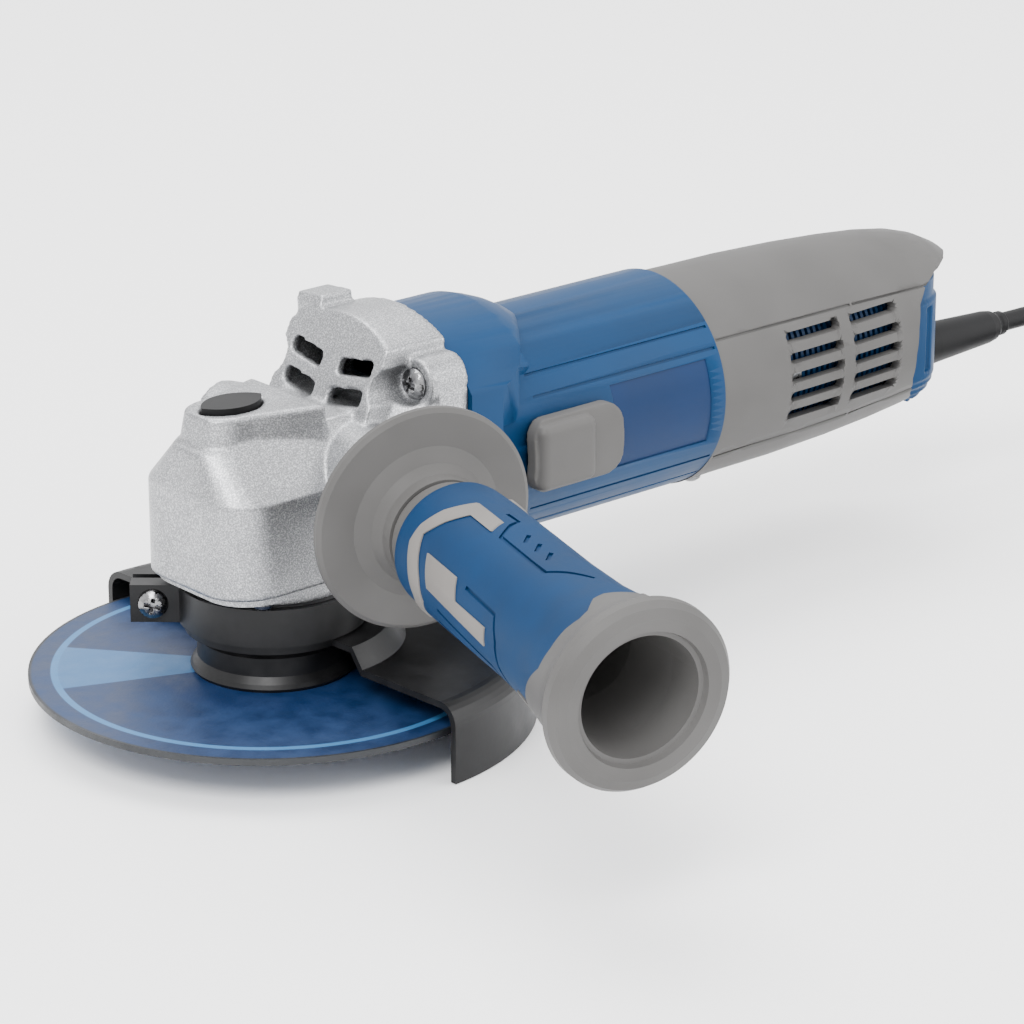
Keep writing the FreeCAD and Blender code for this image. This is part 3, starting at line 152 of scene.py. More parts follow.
def grain(tree: bpy.types.NodeTree, size_mm: float, detail: float = 3.0) -> bpy.types.Node:
    """Adds noise in object space with a grain of a real size.

    Args:
        tree: the material's node tree.
        size_mm: how far apart the grains lie.
        detail: how many finer layers it has.

    Returns:
        The noise node.
    """
    place = add_node(tree, "ShaderNodeTexCoord")
    return add_node(tree, "ShaderNodeTexNoise", {"Scale": per_mm(size_mm), "Detail": detail},
                    {"Vector": place.outputs["Object"]})


def ramp(tree: bpy.types.NodeTree, source: bpy.types.NodeSocket,
         stops: list[tuple[float, str]]) -> bpy.types.NodeSocket:
    """Adds a colour ramp.

    Args:
        tree: the material's node tree.
        source: the value that it reads.
        stops: pairs of place and hex colour.

    Returns:
        Its colour output.
    """
    node = add_node(tree, "ShaderNodeValToRGB", links={"Fac": source})
    elements = node.color_ramp.elements
    while len(elements) < len(stops):
        elements.new(0.5)
    for element, (place, colour) in zip(elements, stops):
        element.position = place
        element.color = linear(colour)
    return node.outputs["Color"]


def levels(tree: bpy.types.NodeTree, source: bpy.types.NodeSocket, low: float,
           high: float) -> bpy.types.NodeSocket:
    """Maps a noise value to a range, such as a roughness.

    Args:
        tree: the material's node tree.
        source: a value from 0 to 1, mostly near the middle.
        low: what 0.3 becomes.
        high: what 0.7 becomes.

    Returns:
        The mapped value.
    """
    node = add_node(tree, "ShaderNodeMapRange",
                    {"From Min": 0.3, "From Max": 0.7, "To Min": low, "To Max": high}, {"Value": source})
    return node.outputs["Result"]


def bump(tree: bpy.types.NodeTree, shader: bpy.types.Node, height: bpy.types.NodeSocket, depth_mm: float,
         strength: float = 1.0) -> None:
    """Lifts the surface by a height pattern, on top of any bump already there.

    Args:
        tree: the material's node tree.
        shader: the shader whose normal is bent.
        height: the pattern.
        depth_mm: how deep the pattern is.
        strength: the share of it that shows.
    """
    node = add_node(tree, "ShaderNodeBump", {"Distance": depth_mm * MM, "Strength": strength},
                    {"Height": height})
    normal = shader.inputs["Normal"]
    if normal.is_linked:
        tree.links.new(normal.links[0].from_socket, node.inputs["Normal"])
    tree.links.new(node.outputs["Normal"], normal)


# ------------------------------------------------------------------ finishes


@dataclass(frozen=True)
class CastAluminium(Finish):
    """Die-cast aluminium, bead-blasted: pale grey with a bright sparkle in a fine grain."""

    name: str = "cast_aluminium"
    dark: str = "#7c7d7f"
    middle: str = "#929395"
    bright: str = "#c6c7c9"
    grain_mm: float = 0.34
    roughness: float = 0.46

    def shade(self, tree: bpy.types.NodeTree, shader: bpy.types.Node) -> None:
        """Sparkling grain in the colour, and the same grain as a shallow bump."""
        fine = grain(tree, self.grain_mm, 4.0).outputs["Fac"]
        broad = grain(tree, 9.0, 2.0).outputs["Fac"]
        colour = ramp(tree, fine, [(0.30, self.dark), (0.50, self.middle), (0.68, self.bright)])
        tree.links.new(colour, shader.inputs["Base Color"])
        tree.links.new(levels(tree, broad, self.roughness - 0.05, self.roughness + 0.06),
                       shader.inputs["Roughness"])
        shader.inputs["Metallic"].default_value = 0.92
        bump(tree, shader, fine, 0.05, 0.7)
        bump(tree, shader, broad, 0.12, 0.3)


@dataclass(frozen=True)
class MouldedPlastic(Finish):
    """Glass-filled nylon or ABS from a spark-eroded mould: satin, with a very fine even texture."""

    name: str = "moulded_plastic"
    colour: str = "#2a5f94"
    shade_colour: str = "#245688"
    roughness: float = 0.46
    texture_mm: float = 0.35
    texture_depth_mm: float = 0.012

    def shade(self, tree: bpy.types.NodeTree, shader: bpy.types.Node) -> None:
        """A slow drift of colour, a fine texture and a little uneven gloss."""
        broad = grain(tree, 22.0, 2.0).outputs["Fac"]
        fine = grain(tree, self.texture_mm, 2.0).outputs["Fac"]
        tree.links.new(ramp(tree, broad, [(0.35, self.shade_colour), (0.65, self.colour)]),
                       shader.inputs["Base Color"])
        tree.links.new(levels(tree, broad, self.roughness - 0.04, self.roughness + 0.05),
                       shader.inputs["Roughness"])
        shader.inputs["IOR"].default_value = 1.53
        shader.inputs["Specular IOR Level"].default_value = MATT_SKIN_SPECULAR
        bump(tree, shader, fine, self.texture_depth_mm, 0.8)


@dataclass(frozen=True)
class SoftRubber(Finish):
    """Thermoplastic rubber from a textured mould: matt, with a fine stipple."""

    name: str = "grip_rubber"
    colour: str = "#1e6ca4"
    shade_colour: str = "#195f95"
    roughness: float = 0.6
    stipple_mm: float = 0.5

    def shade(self, tree: bpy.types.NodeTree, shader: bpy.types.Node) -> None:
        """Mottled colour and a stippled bump."""
        broad = grain(tree, 14.0, 3.0).outputs["Fac"]
        fine = grain(tree, self.stipple_mm, 2.0).outputs["Fac"]
        tree.links.new(ramp(tree, broad, [(0.35, self.shade_colour), (0.65, self.colour)]),
                       shader.inputs["Base Color"])
        tree.links.new(levels(tree, broad, self.roughness - 0.05, self.roughness + 0.05),
                       shader.inputs["Roughness"])
        shader.inputs["IOR"].default_value = 1.5
        shader.inputs["Specular IOR Level"].default_value = MATT_SKIN_SPECULAR
        bump(tree, shader, fine, 0.02, 0.8)


@dataclass(frozen=True)
class PaintedSteel(Finish):
    """Powder-coated sheet steel: near black and semi-gloss, with orange peel."""

    name: str = "black_painted_steel"
    colour: str = "#0e0e0f"
    dust_colour: str = "#1b1b1c"
    roughness: float = 0.36

    def shade(self, tree: bpy.types.NodeTree, shader: bpy.types.Node) -> None:
        """Orange peel as a shallow bump, and dust that dulls the gloss in patches."""
        peel = grain(tree, 1.4, 2.0).outputs["Fac"]
        dust = grain(tree, 7.0, 4.0).outputs["Fac"]
        tree.links.new(ramp(tree, dust, [(0.4, self.colour), (0.8, self.dust_colour)]),
                       shader.inputs["Base Color"])
        tree.links.new(levels(tree, dust, self.roughness - 0.04, self.roughness + 0.1),
                       shader.inputs["Roughness"])
        shader.inputs["IOR"].default_value = 1.5
        shader.inputs["Specular IOR Level"].default_value = PAINTED_SKIN_SPECULAR
        bump(tree, shader, peel, 0.02, 0.6)


@dataclass(frozen=True)
class BareMetal(Finish):
    """Turned, drawn or plated metal: fine tool marks and slightly uneven gloss."""

    name: str = "turned_steel"
    colour: str = "#9b9c9e"
    stain: str = "#6d6e70"
    roughness: float = 0.3
    mark_mm: float = 0.4

    def shade(self, tree: bpy.types.NodeTree, shader: bpy.types.Node) -> None:
        """Stained colour and shallow tool marks."""
        marks = grain(tree, self.mark_mm, 2.0).outputs["Fac"]
        stains = grain(tree, 3.0, 3.0).outputs["Fac"]
        tree.links.new(ramp(tree, stains, [(0.35, self.stain), (0.6, self.colour)]),
                       shader.inputs["Base Color"])
        tree.links.new(levels(tree, stains, self.roughness - 0.06, self.roughness + 0.08),
                       shader.inputs["Roughness"])
        shader.inputs["Metallic"].default_value = 1.0
        bump(tree, shader, marks, 0.008, 0.7)


@dataclass(frozen=True)
class PrintedDisc(Finish):
    """Resin-bonded abrasive with a printed paper face: blue with a pale ring and a bare, gritty rim."""

    name: str = "printed_abrasive_disc"
    blue: str = "#08294f"
    deep: str = "#052143"
    ring: str = "#316592"
    sector: str = "#2d5a85"
    rim: str = "#15181c"
    speck: str = "#05234a"
    ring_radius_mm: float = 51.4
    ring_width_mm: float = 1.7
    rim_start_mm: float = 56.6
    worn_radius_mm: float = 22.0
    worn_half_mm: float = 8.0
    sector_start: float = 128.0
    sector_end: float = 158.0
    edge_fade_mm: float = 0.12
    grit_mm: float = 0.7

    def shade(self, tree: bpy.types.NodeTree, shader: bpy.types.Node) -> None:
        """Draws the ring, the pale sector and the grit from the distance and angle to the spindle."""
        place = add_node(tree, "ShaderNodeTexCoord").outputs["Object"]
        split = add_node(tree, "ShaderNodeSeparateXYZ", links={"Vector": place})
        flat = add_node(tree, "ShaderNodeCombineXYZ",
                        links={"X": split.outputs["X"], "Y": split.outputs["Y"]})
        reach = add_node(tree, "ShaderNodeVectorMath", {"operation": "LENGTH"}, {0: flat.outputs["Vector"]})
        distance = reach.outputs["Value"]
        grit = grain(tree, self.grit_mm, 4.0).outputs["Fac"]
        blot = grain(tree, 6.0, 4.0).outputs["Fac"]
        colour = ramp(tree, blot, [(0.35, self.deep), (0.65, self.blue)])
        speck = self.near(tree, distance, self.worn_radius_mm, self.worn_half_mm)
        speck = self.both(tree, speck, levels(tree, grit, -0.6, 1.5))
        colour = self.over(tree, colour, self.speck, speck)
        colour = self.over(tree, colour, self.sector, self.sector_mask(tree, split, distance))
        ring = self.near(tree, distance, self.ring_radius_mm, self.ring_width_mm / 2)
        colour = self.over(tree, colour, self.ring, ring)
        rim = add_node(tree, "ShaderNodeMapRange",
                       {"From Min": self.rim_start_mm * MM, "From Max": (self.rim_start_mm + 0.4) * MM},
                       {"Value": distance}).outputs["Result"]
        colour = self.over(tree, colour, self.rim, rim)
        tree.links.new(colour, shader.inputs["Base Color"])
        tree.links.new(levels(tree, blot, 0.42, 0.6), shader.inputs["Roughness"])
        bump(tree, shader, grit, 0.08, 0.5)

    def near(self, tree: bpy.types.NodeTree, value: bpy.types.NodeSocket, middle_mm: float,
             half_mm: float) -> bpy.types.NodeSocket:
        """A mask that is 1 within a distance of a radius and fades out at its edges.

        Args:
            tree: the material's node tree.
            value: the distance from the spindle.
            middle_mm: the radius that the mask lies on.
            half_mm: how far it reaches to each side.

        Returns:
            The mask.
        """
        gap = add_node(tree, "ShaderNodeMath", {"operation": "SUBTRACT", 1: middle_mm * MM}, {0: value})
        gap = add_node(tree, "ShaderNodeMath", {"operation": "ABSOLUTE"}, {0: gap.outputs[0]})
        fade = add_node(tree, "ShaderNodeMapRange",
                        {"From Min": (half_mm - self.edge_fade_mm) * MM,
                         "From Max": (half_mm + self.edge_fade_mm) * MM,
                         "To Min": 1.0, "To Max": 0.0}, {"Value": gap.outputs[0]})
        return fade.outputs["Result"]

    def both(self, tree: bpy.types.NodeTree, first: bpy.types.NodeSocket,
             second: bpy.types.NodeSocket) -> bpy.types.NodeSocket:
        """The product of two masks, kept from 0 to 1."""
        node = add_node(tree, "ShaderNodeMath", {"operation": "MULTIPLY", "use_clamp": True},
                        {0: first, 1: second})
        return node.outputs[0]

    def over(self, tree: bpy.types.NodeTree, under: bpy.types.NodeSocket, colour: str,
             mask: bpy.types.NodeSocket) -> bpy.types.NodeSocket:
        """Lays a colour over another where a mask is 1."""
        node = add_node(tree, "ShaderNodeMix", {"data_type": "RGBA"})
        node.inputs[7].default_value = linear(colour)
        tree.links.new(mask, node.inputs["Factor"])
        tree.links.new(under, node.inputs[6])
        return node.outputs[2]

    def sector_mask(self, tree: bpy.types.NodeTree, split: bpy.types.Node,
                    distance: bpy.types.NodeSocket) -> bpy.types.NodeSocket:
        """The pale sector: between two directions, inside the ring."""
        turn = add_node(tree, "ShaderNodeMath", {"operation": "ARCTAN2"},
                        {0: split.outputs["Y"], 1: split.outputs["X"]}).outputs[0]
        start, end, fade = (math.radians(a) for a in (self.sector_start, self.sector_end, 0.6))
        late = add_node(tree, "ShaderNodeMapRange", {"From Min": start, "From Max": start + fade},
                        {"Value": turn}).outputs["Result"]
        early = add_node(tree, "ShaderNodeMapRange",
                         {"From Min": end - fade, "From Max": end, "To Min": 1.0, "To Max": 0.0},
                         {"Value": turn}).outputs["Result"]
        inside = add_node(tree, "ShaderNodeMapRange",
                          {"From Min": (self.ring_radius_mm - 0.4) * MM, "From Max": self.ring_radius_mm * MM,
                           "To Min": 1.0, "To Max": 0.0}, {"Value": distance}).outputs["Result"]
        return self.both(tree, self.both(tree, late, early), inside)


BLUE_PLASTIC = MouldedPlastic("blue_moulded_nylon", "#013055", "#012c4f")
PANEL_PLASTIC = MouldedPlastic("blue_panel_film", "#012248", "#011f42", 0.42)
GREY_PLASTIC = MouldedPlastic("grey_moulded_abs", "#504f4e", "#4b4a49", 0.5)
HANDLE_GREY = MouldedPlastic("grey_handle_nylon", "#51504f", "#4b4a49", 0.52)
BLACK_PLASTIC = MouldedPlastic("black_moulded_nylon", "#101011", "#0c0c0d", 0.42)
GRIP_BLUE = SoftRubber("blue_grip_rubber", "#012a4d", "#012545")
GRIP_GREY = SoftRubber("grey_grip_inlay", "#6e6b68", "#676461", 0.58)
LEAD_RUBBER = SoftRubber("mains_lead_rubber", "#161617", "#121213", 0.5, 0.6)
CAST = CastAluminium()
BLACK_STEEL = PaintedSteel()
TURNED_STEEL = BareMetal()
PLATED_SCREW = BareMetal("nickel_plated_screw", "#8b8b8c", "#5c5c5e", 0.2)
COPPER = BareMetal("enamelled_copper", "#a65a2c", "#7d3d1c", 0.35)
BRASS = BareMetal("drawn_brass", "#b08d4a", "#8c6d35", 0.3)
BRONZE = BareMetal("sintered_bronze", "#8a6a42", "#6c5233", 0.5)
CARBON = MouldedPlastic("pressed_carbon", "#262626", "#1d1d1d", 0.55)
RESIN = MouldedPlastic("dipped_capacitor_resin", "#b98a1e", "#a87c18", 0.35)
DISC_PRINT = PrintedDisc()


# ------------------------------------------------------------------ modelling helpers


def select_only(*pieces: bpy.types.Object) -> None:
    """Selects these pieces alone and makes the first one active."""
    bpy.ops.object.select_all(action="DESELECT")
    for piece in pieces:
        piece.select_set(True)
    bpy.context.view_layer.objects.active = pieces[0]


def modify(piece: bpy.types.Object, kind: str, **settings: object) -> None:
    """Adds a modifier with its settings and applies it.

    Args:
        piece: the mesh object to change.
        kind: the modifier's type.
        settings: its properties.
    """
    modifier = piece.modifiers.new(kind.lower(), kind)
    for key, value in settings.items():
        setattr(modifier, key, value)
    select_only(piece)
    bpy.ops.object.modifier_apply(modifier=modifier.name)


def smooth(piece: bpy.types.Object, degrees: float = 32.0) -> None:
    """Shades a piece smooth, but for edges sharper than an angle."""
    select_only(piece)
    bpy.ops.object.shade_smooth_by_angle(angle=math.radians(degrees))


def recast(node: str, name: str, voxel_mm: float, passes: int) -> bpy.types.Object:
    """Copies a CAD node as one soft-edged skin.

    Args:
        node: the CAD node to copy.
        name: the new piece's name.
        voxel_mm: the fineness of the new skin.
        passes: how many times its edges are softened.

    Returns:
        The new piece, which stands for the node.
    """
    piece = twin(node, name)
    modify(piece, "REMESH", mode="VOXEL", voxel_size=voxel_mm * MM)
    modify(piece, "SMOOTH", factor=0.5, iterations=passes)
    select_only(piece)
    bpy.ops.object.shade_smooth()
    return piece


def lathe(name: str, centre: Vector, axis: Vector, profile: list[tuple[float, float]],
          steps: int = 96) -> bpy.types.Object:
    """Spins a profile round an axis.

    Args:
        name: the new piece's name.
        centre: a point on the axis.
        axis: its direction.
        profile: pairs of radius and distance along the axis, in millimetres.
        steps: how many sides the piece has.

    Returns:
        The closed, smooth-shaded piece.
    """
    way = axis.normalized()
    out = way.orthogonal().normalized()
    points = [centre + (way * along + out * radius) * MM for radius, along in profile]
    bpy.ops.object.select_all(action="DESELECT")
    bpy.ops.mesh.primitive_plane_add(size=MM, location=(0, 0, 0))
    piece = bpy.context.object
    piece.name = name
    bpy.ops.object.mode_set(mode="EDIT")
    bpy.ops.mesh.select_all(action="SELECT")
    bpy.ops.mesh.merge(type="CENTER")
    bpy.ops.transform.translate(value=points[0])
    for before, after in zip(points, points[1:]):
        bpy.ops.mesh.extrude_vertices_move(TRANSFORM_OT_translate={"value": after - before})
    bpy.ops.mesh.select_all(action="SELECT")
    bpy.ops.mesh.spin(steps=steps, angle=2 * math.pi, center=centre, axis=way, dupli=False)
    bpy.ops.mesh.select_all(action="SELECT")
    bpy.ops.mesh.remove_doubles(threshold=0.002 * MM)
    bpy.ops.mesh.normals_make_consistent(inside=False)
    bpy.ops.object.mode_set(mode="OBJECT")
    smooth(piece)
    return piece


def twin(node: str, name: str) -> bpy.types.Object:
    """Copies a CAD node with its split vertices joined, ready for edits of its own.

    Args:
        node: the CAD node to copy.
        name: the new piece's name.

    Returns:
        The copy, on no body yet.
    """
    piece = NODES[node].copy()
    piece.data = NODES[node].data.copy()
    piece.name = name
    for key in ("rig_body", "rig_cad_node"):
        del piece[key]
    piece.parent = None
    bpy.context.scene.collection.objects.link(piece)
    select_only(piece)
    bpy.ops.object.mode_set(mode="EDIT")
    bpy.ops.mesh.select_all(action="SELECT")
    bpy.ops.mesh.remove_doubles(threshold=0.002 * MM)
    bpy.ops.object.mode_set(mode="OBJECT")
    return piece


def cut_by(piece: bpy.types.Object, cutters: list[bpy.types.Object], keep: bool = False) -> None:
    """Cuts a piece by others, or keeps only what they share, and removes the cutters.

    Args:
        piece: the piece to cut.
        cutters: the shapes to take away, which don't overlap one another.
        keep: True to keep the shared part instead.
    """
    tool = cutters[0]
    if len(cutters) > 1:
        select_only(*cutters)
        bpy.ops.object.join()
        tool = bpy.context.object
    modify(piece, "BOOLEAN", operation="INTERSECT" if keep else "DIFFERENCE", object=tool, solver="EXACT")
    bpy.data.objects.remove(tool, do_unlink=True)


def block(size_mm: tuple[float, float, float], at_mm: Vector, turn: Matrix) -> bpy.types.Object:
    """Makes a block of a size, turned and placed, with the placing applied.

    Args:
        size_mm: its three lengths.
        at_mm: its middle.
        turn: its rotation.

    Returns:
        The block.
    """
    bpy.ops.object.select_all(action="DESELECT")
    bpy.ops.mesh.primitive_cube_add(size=1.0)
    piece = bpy.context.object
    piece.scale = [length * MM for length in size_mm]
    piece.rotation_euler = turn.to_euler()
    piece.location = at_mm * MM
    bpy.ops.object.transform_apply(location=True, rotation=True, scale=True)
    return piece


def prism(name: str, corners: list[Vector], way: Vector) -> bpy.types.Object:
    """Makes a prism from a flat outline.

    Args:
        name: the new piece's name.
        corners: the outline, in millimetres.
        way: how far and where the outline is extruded, in millimetres.

    Returns:
        The closed prism.
    """
    bpy.ops.object.select_all(action="DESELECT")
    bpy.ops.mesh.primitive_plane_add(size=MM, location=(0, 0, 0))
    piece = bpy.context.object
    piece.name = name
    bpy.ops.object.mode_set(mode="EDIT")
    bpy.ops.mesh.select_all(action="SELECT")
    bpy.ops.mesh.merge(type="CENTER")
    bpy.ops.transform.translate(value=corners[0] * MM)
    for before, after in zip(corners, corners[1:]):
        bpy.ops.mesh.extrude_vertices_move(TRANSFORM_OT_translate={"value": (after - before) * MM})
    bpy.ops.mesh.select_all(action="SELECT")
    bpy.ops.mesh.edge_face_add()
    bpy.ops.mesh.select_all(action="SELECT")
    bpy.ops.mesh.extrude_region_move(TRANSFORM_OT_translate={"value": way * MM})
    bpy.ops.mesh.select_all(action="SELECT")
    bpy.ops.mesh.normals_make_consistent(inside=False)
    bpy.ops.object.mode_set(mode="OBJECT")
    return piece


def cross_recess(at_mm: Vector, inward: Vector, span_mm: float, turn_degrees: float) -> bpy.types.Object:
    """Makes the plus-shaped tool that cuts a screw's recess.

    Args:
        at_mm: the middle of the head's face.
        inward: the direction into the head.
        span_mm: how wide the recess is.
        turn_degrees: how far the plus is turned about the screw.

    Returns:
        The cutter.
    """
    spin = Matrix.Rotation(math.radians(turn_degrees), 3, "Z")
    axes = inward.to_track_quat("Z", "Y").to_matrix() @ spin
    wing_mm, deep_mm = 0.24 * span_mm, 2.6
    bar = block((span_mm, wing_mm, deep_mm), at_mm, axes)
    other = block((wing_mm, span_mm, deep_mm), at_mm, axes)
    modify(bar, "BOOLEAN", operation="UNION", object=other, solver="EXACT")
    bpy.data.objects.remove(other, do_unlink=True)
    return bar


def ride(piece: bpy.types.Object, body: str, slot: str, *nodes: str) -> bpy.types.Object:
    """Hangs a piece on a body and hides the nodes that it stands for."""
    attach(piece, body)
    if nodes:
        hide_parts(*nodes)
    return piece


# ------------------------------------------------------------------ studio


@dataclass
class Studio:
    """Camera, pale floor and soft lights."""

    azimuth: float = -41.22
    elevation: float = 19.88
    lens_mm: float = 137.7
    camera_at: tuple[float, float, float] = (-0.52027, -0.67868, 0.35574)
    floor_level: float = field(default_factory=lambda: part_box("guard_shell")[0].z)
    floor_gap: float = 0.0002
    world_strength: float = 1.9
    lights: tuple[tuple[str, tuple[float, float, float], float, float], ...] = (
        ("key_light", (-1.0, -0.7, 1.5), 0.9, 44.0),
        ("fill_light", (1.1, -1.1, 0.8), 1.3, 16.0),
        ("top_light", (0.3, 0.6, 1.7), 1.2, 34.0),
    )

    def build(self) -> None:
        """Makes the camera, the floor and the lights."""
        self.camera()
        self.floor()
        for light in self.lights:
            self.light(*light)
        world = bpy.data.worlds.new("pale_studio")
        world.use_nodes = True
        sky = world.node_tree.nodes["Background"]
        sky.inputs["Color"].default_value = linear("#fbfbfc")
        sky.inputs["Strength"].default_value = self.world_strength
        bpy.context.scene.world = world

    def camera(self) -> None:
        """Places the camera at the viewing angle."""
        turn, rise = math.radians(self.azimuth), math.radians(self.elevation)
        back = Vector((math.sin(turn) * math.cos(rise), -math.cos(turn) * math.cos(rise), math.sin(rise)))
        data = bpy.data.cameras.new("camera")
        data.lens = self.lens_mm
        data.sensor_width = 36.0
        data.clip_start = 0.01
        camera = bpy.data.objects.new("camera", data)
        camera.location = self.camera_at
        camera.rotation_euler = (-back).to_track_quat("-Z", "Y").to_euler()
        bpy.context.scene.collection.objects.link(camera)
        bpy.context.scene.camera = camera

    def floor(self) -> None:
        """Lays a wide pale floor at the level that the guard stands on."""
        bpy.ops.object.select_all(action="DESELECT")
        bpy.ops.mesh.primitive_plane_add(size=12.0, location=(0, 0, self.floor_level - self.floor_gap))
        floor = bpy.context.object
        floor.name = "floor"
        paint = bpy.data.materials.new("pale_floor")
        paint.use_nodes = True
        shader = paint.node_tree.nodes["Principled BSDF"]
        shader.inputs["Base Color"].default_value = linear("#fdfdfd")
        shader.inputs["Roughness"].default_value = 0.9
        floor.data.materials.append(paint)

    def light(self, name: str, at: tuple[float, float, float], size: float, power: float) -> None:
        """Adds one soft square light that faces the tool.

        Args:
            name: the light's name.
            at: its place.
            size: the length of its side.
            power: its power in watts.
        """
        data = bpy.data.lights.new(name, "AREA")
        data.size = size
        data.energy = power
        lamp = bpy.data.objects.new(name, data)
        lamp.location = at
        lamp.rotation_euler = (Vector((0.05, -0.03, 0.04)) - Vector(at)).to_track_quat("-Z", "Y").to_euler()
        bpy.context.scene.collection.objects.link(lamp)


# ------------------------------------------------------------------ mains lead


@dataclass
class MainsLead:
    """The mains lead: out of the tail, down to the floor, wound into a tied coil, and into its plug."""

    radius: float = 0.0026
    route: tuple[tuple[float, float, float], ...] = (
        (0.2510, 0.0000, 0.0422),
        (0.2760, 0.0005, 0.0422),
        (0.2990, -0.0008, 0.0316),
        (0.3150, -0.0040, 0.0126),
        (0.3330, -0.0125, 0.0006),
        (0.3460, -0.0330, 0.0006),
    )
    plug_route: tuple[tuple[float, float, float], ...] = (
        (0.2990, -0.0804, 0.0154),
        (0.2850, -0.0814, 0.0096),
        (0.2710, -0.0820, 0.0072),
    )
    coil_middle: tuple[float, float] = (0.3105, -0.0440)
    coil_outer: float = 0.0360
    turns: float = 9.25
    layers: int = 4
    points_per_turn: int = 16
    length: float = 1.94

    def build(self) -> None:
        """Makes the lead, its tie and its plug."""
        lead = self.lead()
        log.info("built %s", lead.name)
        self.dress_ends()

    def coil_points(self) -> list[Vector]:
        """The control points of the coil's turns: layers that wind in and out by turns."""
        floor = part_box("cord_coil")[0].z
        per_layer = self.turns / self.layers
        pitch = 2 * self.radius
        draw_in = math.cos(math.pi / self.points_per_turn)
        points = []
        total = int(self.turns * self.points_per_turn)
        for step in range(total + 1):
            turn = step / self.points_per_turn
            layer = min(int(turn / per_layer), self.layers - 1)
            share = turn / per_layer - layer
            inward = share if layer % 2 == 0 else 1.0 - share
            reach = (self.coil_outer - pitch * per_layer * inward) / draw_in
            climb = max(0.0, (share - 0.86) / 0.14) if layer < self.layers - 1 else 0.0
            level = floor + self.radius + pitch * (layer + climb)
            angle = -2 * math.pi * turn
            points.append(Vector((self.coil_middle[0] + reach * math.cos(angle),
                                  self.coil_middle[1] + reach * math.sin(angle), level)))
        return points

    def lead(self) -> bpy.types.Object:
        """One smooth spline from the strain relief to the plug."""
        points = [Vector(p) for p in self.route] + self.coil_points() + [Vector(p) for p in self.plug_route]
        curve = bpy.data.curves.new("mains_lead_curve", "CURVE")
        curve.dimensions = "3D"
        curve.bevel_depth = 1.0
        curve.bevel_resolution = 6
        curve.use_fill_caps = True
        curve.resolution_u = 5
        spline = curve.splines.new("NURBS")
        spline.points.add(len(points) - 1)
        for target, point in zip(spline.points, points):
            target.co = (*point, 1.0)
            # The size is on the points, because a curve's bounds grow by its points' radius.
            target.radius = self.radius
        spline.order_u = 3
        spline.use_endpoint_u = True
        lead = bpy.data.objects.new("mains_lead_line", curve)
        bpy.context.scene.collection.objects.link(lead)
        ride(lead, "housing", "lead_rubber", "mains_lead", "cord_coil", "lead_tail")
        lead.data.materials.append(LEAD_RUBBER.material())
        return lead

    def dress_ends(self) -> None:
        """Finishes the plug and the tie."""
        BLACK_PLASTIC.dress(NODES["plug_body"], NODES["coil_tie"])
        BRASS.dress(NODES["plug_pins"])


# ------------------------------------------------------------------ gear head


AXLE_MM = 54.8


@dataclass
class Screws:
    """Pan-head screws with a cross recess, cut into copies of the CAD screws."""

    lug_out: float = 20.4
    lug_rise: float = 22.9
    axle: float = AXLE_MM
    head_face_x: float = 24.8
    clamp_angle: float = 138.0
    clamp_reach: float = 27.4
    clamp_face: float = 8.1
    clamp_level: float = 26.6

    def build(self) -> None:
        """Cuts the recesses of the head's screws and of the clamp's screw."""
        head = twin("gear_housing_screws", "gear_housing_screws_cut")
        cutters = []
        for index, (side, rise) in enumerate(((-1, 1), (1, 1), (-1, -1), (1, -1))):
            at = Vector((self.head_face_x, side * self.lug_out, self.axle + rise * self.lug_rise))
            cutters.append(cross_recess(at, Vector((1, 0, 0)), 4.2, 20 + 35 * index))
        cut_by(head, cutters)
        smooth(head)
        PLATED_SCREW.dress(ride(head, "housing", "zinc_steel", "gear_housing_screws"))
        clamp = twin("band_screw", "band_screw_cut")
        turn = math.radians(self.clamp_angle)
        inward = Vector((math.sin(turn), -math.cos(turn), 0))
        reach = Vector((math.cos(turn), math.sin(turn), 0)) * self.clamp_reach
        face = reach - inward * self.clamp_face + Vector((0, 0, self.clamp_level))
        cut_by(clamp, [cross_recess(face, inward, 3.9, 12.0)])
        smooth(clamp)
        PLATED_SCREW.dress(ride(clamp, "guard", "zinc_steel", "band_screw"))


@dataclass
class GearHead:
    """The cast gear housing with its plate, screws, spindle lock and gears."""

    voxel_mm: float = 0.62

    def build(self) -> None:
        """Makes the head's pieces."""
        housing = recast("gear_housing", "gear_housing_cast", self.voxel_mm, 3)
        ride(housing, "housing", "cast_aluminium", "gear_housing")
        CAST.dress(housing, NODES["bearing_plate"])
        BLACK_PLASTIC.dress(NODES["lock_button"])
        PLATED_SCREW.dress(NODES["plate_screws"])
        TURNED_STEEL.dress(*(NODES[n] for n in ("lock_pin", "lock_spring", "spindle_bearing", "crown_wheel",
                                               "pinion", "front_bearing", "spindle", "handle_stud")))
        BRONZE.dress(NODES["spindle_bush"])
        log.info("built %s", housing.name)


# ------------------------------------------------------------------ motor body


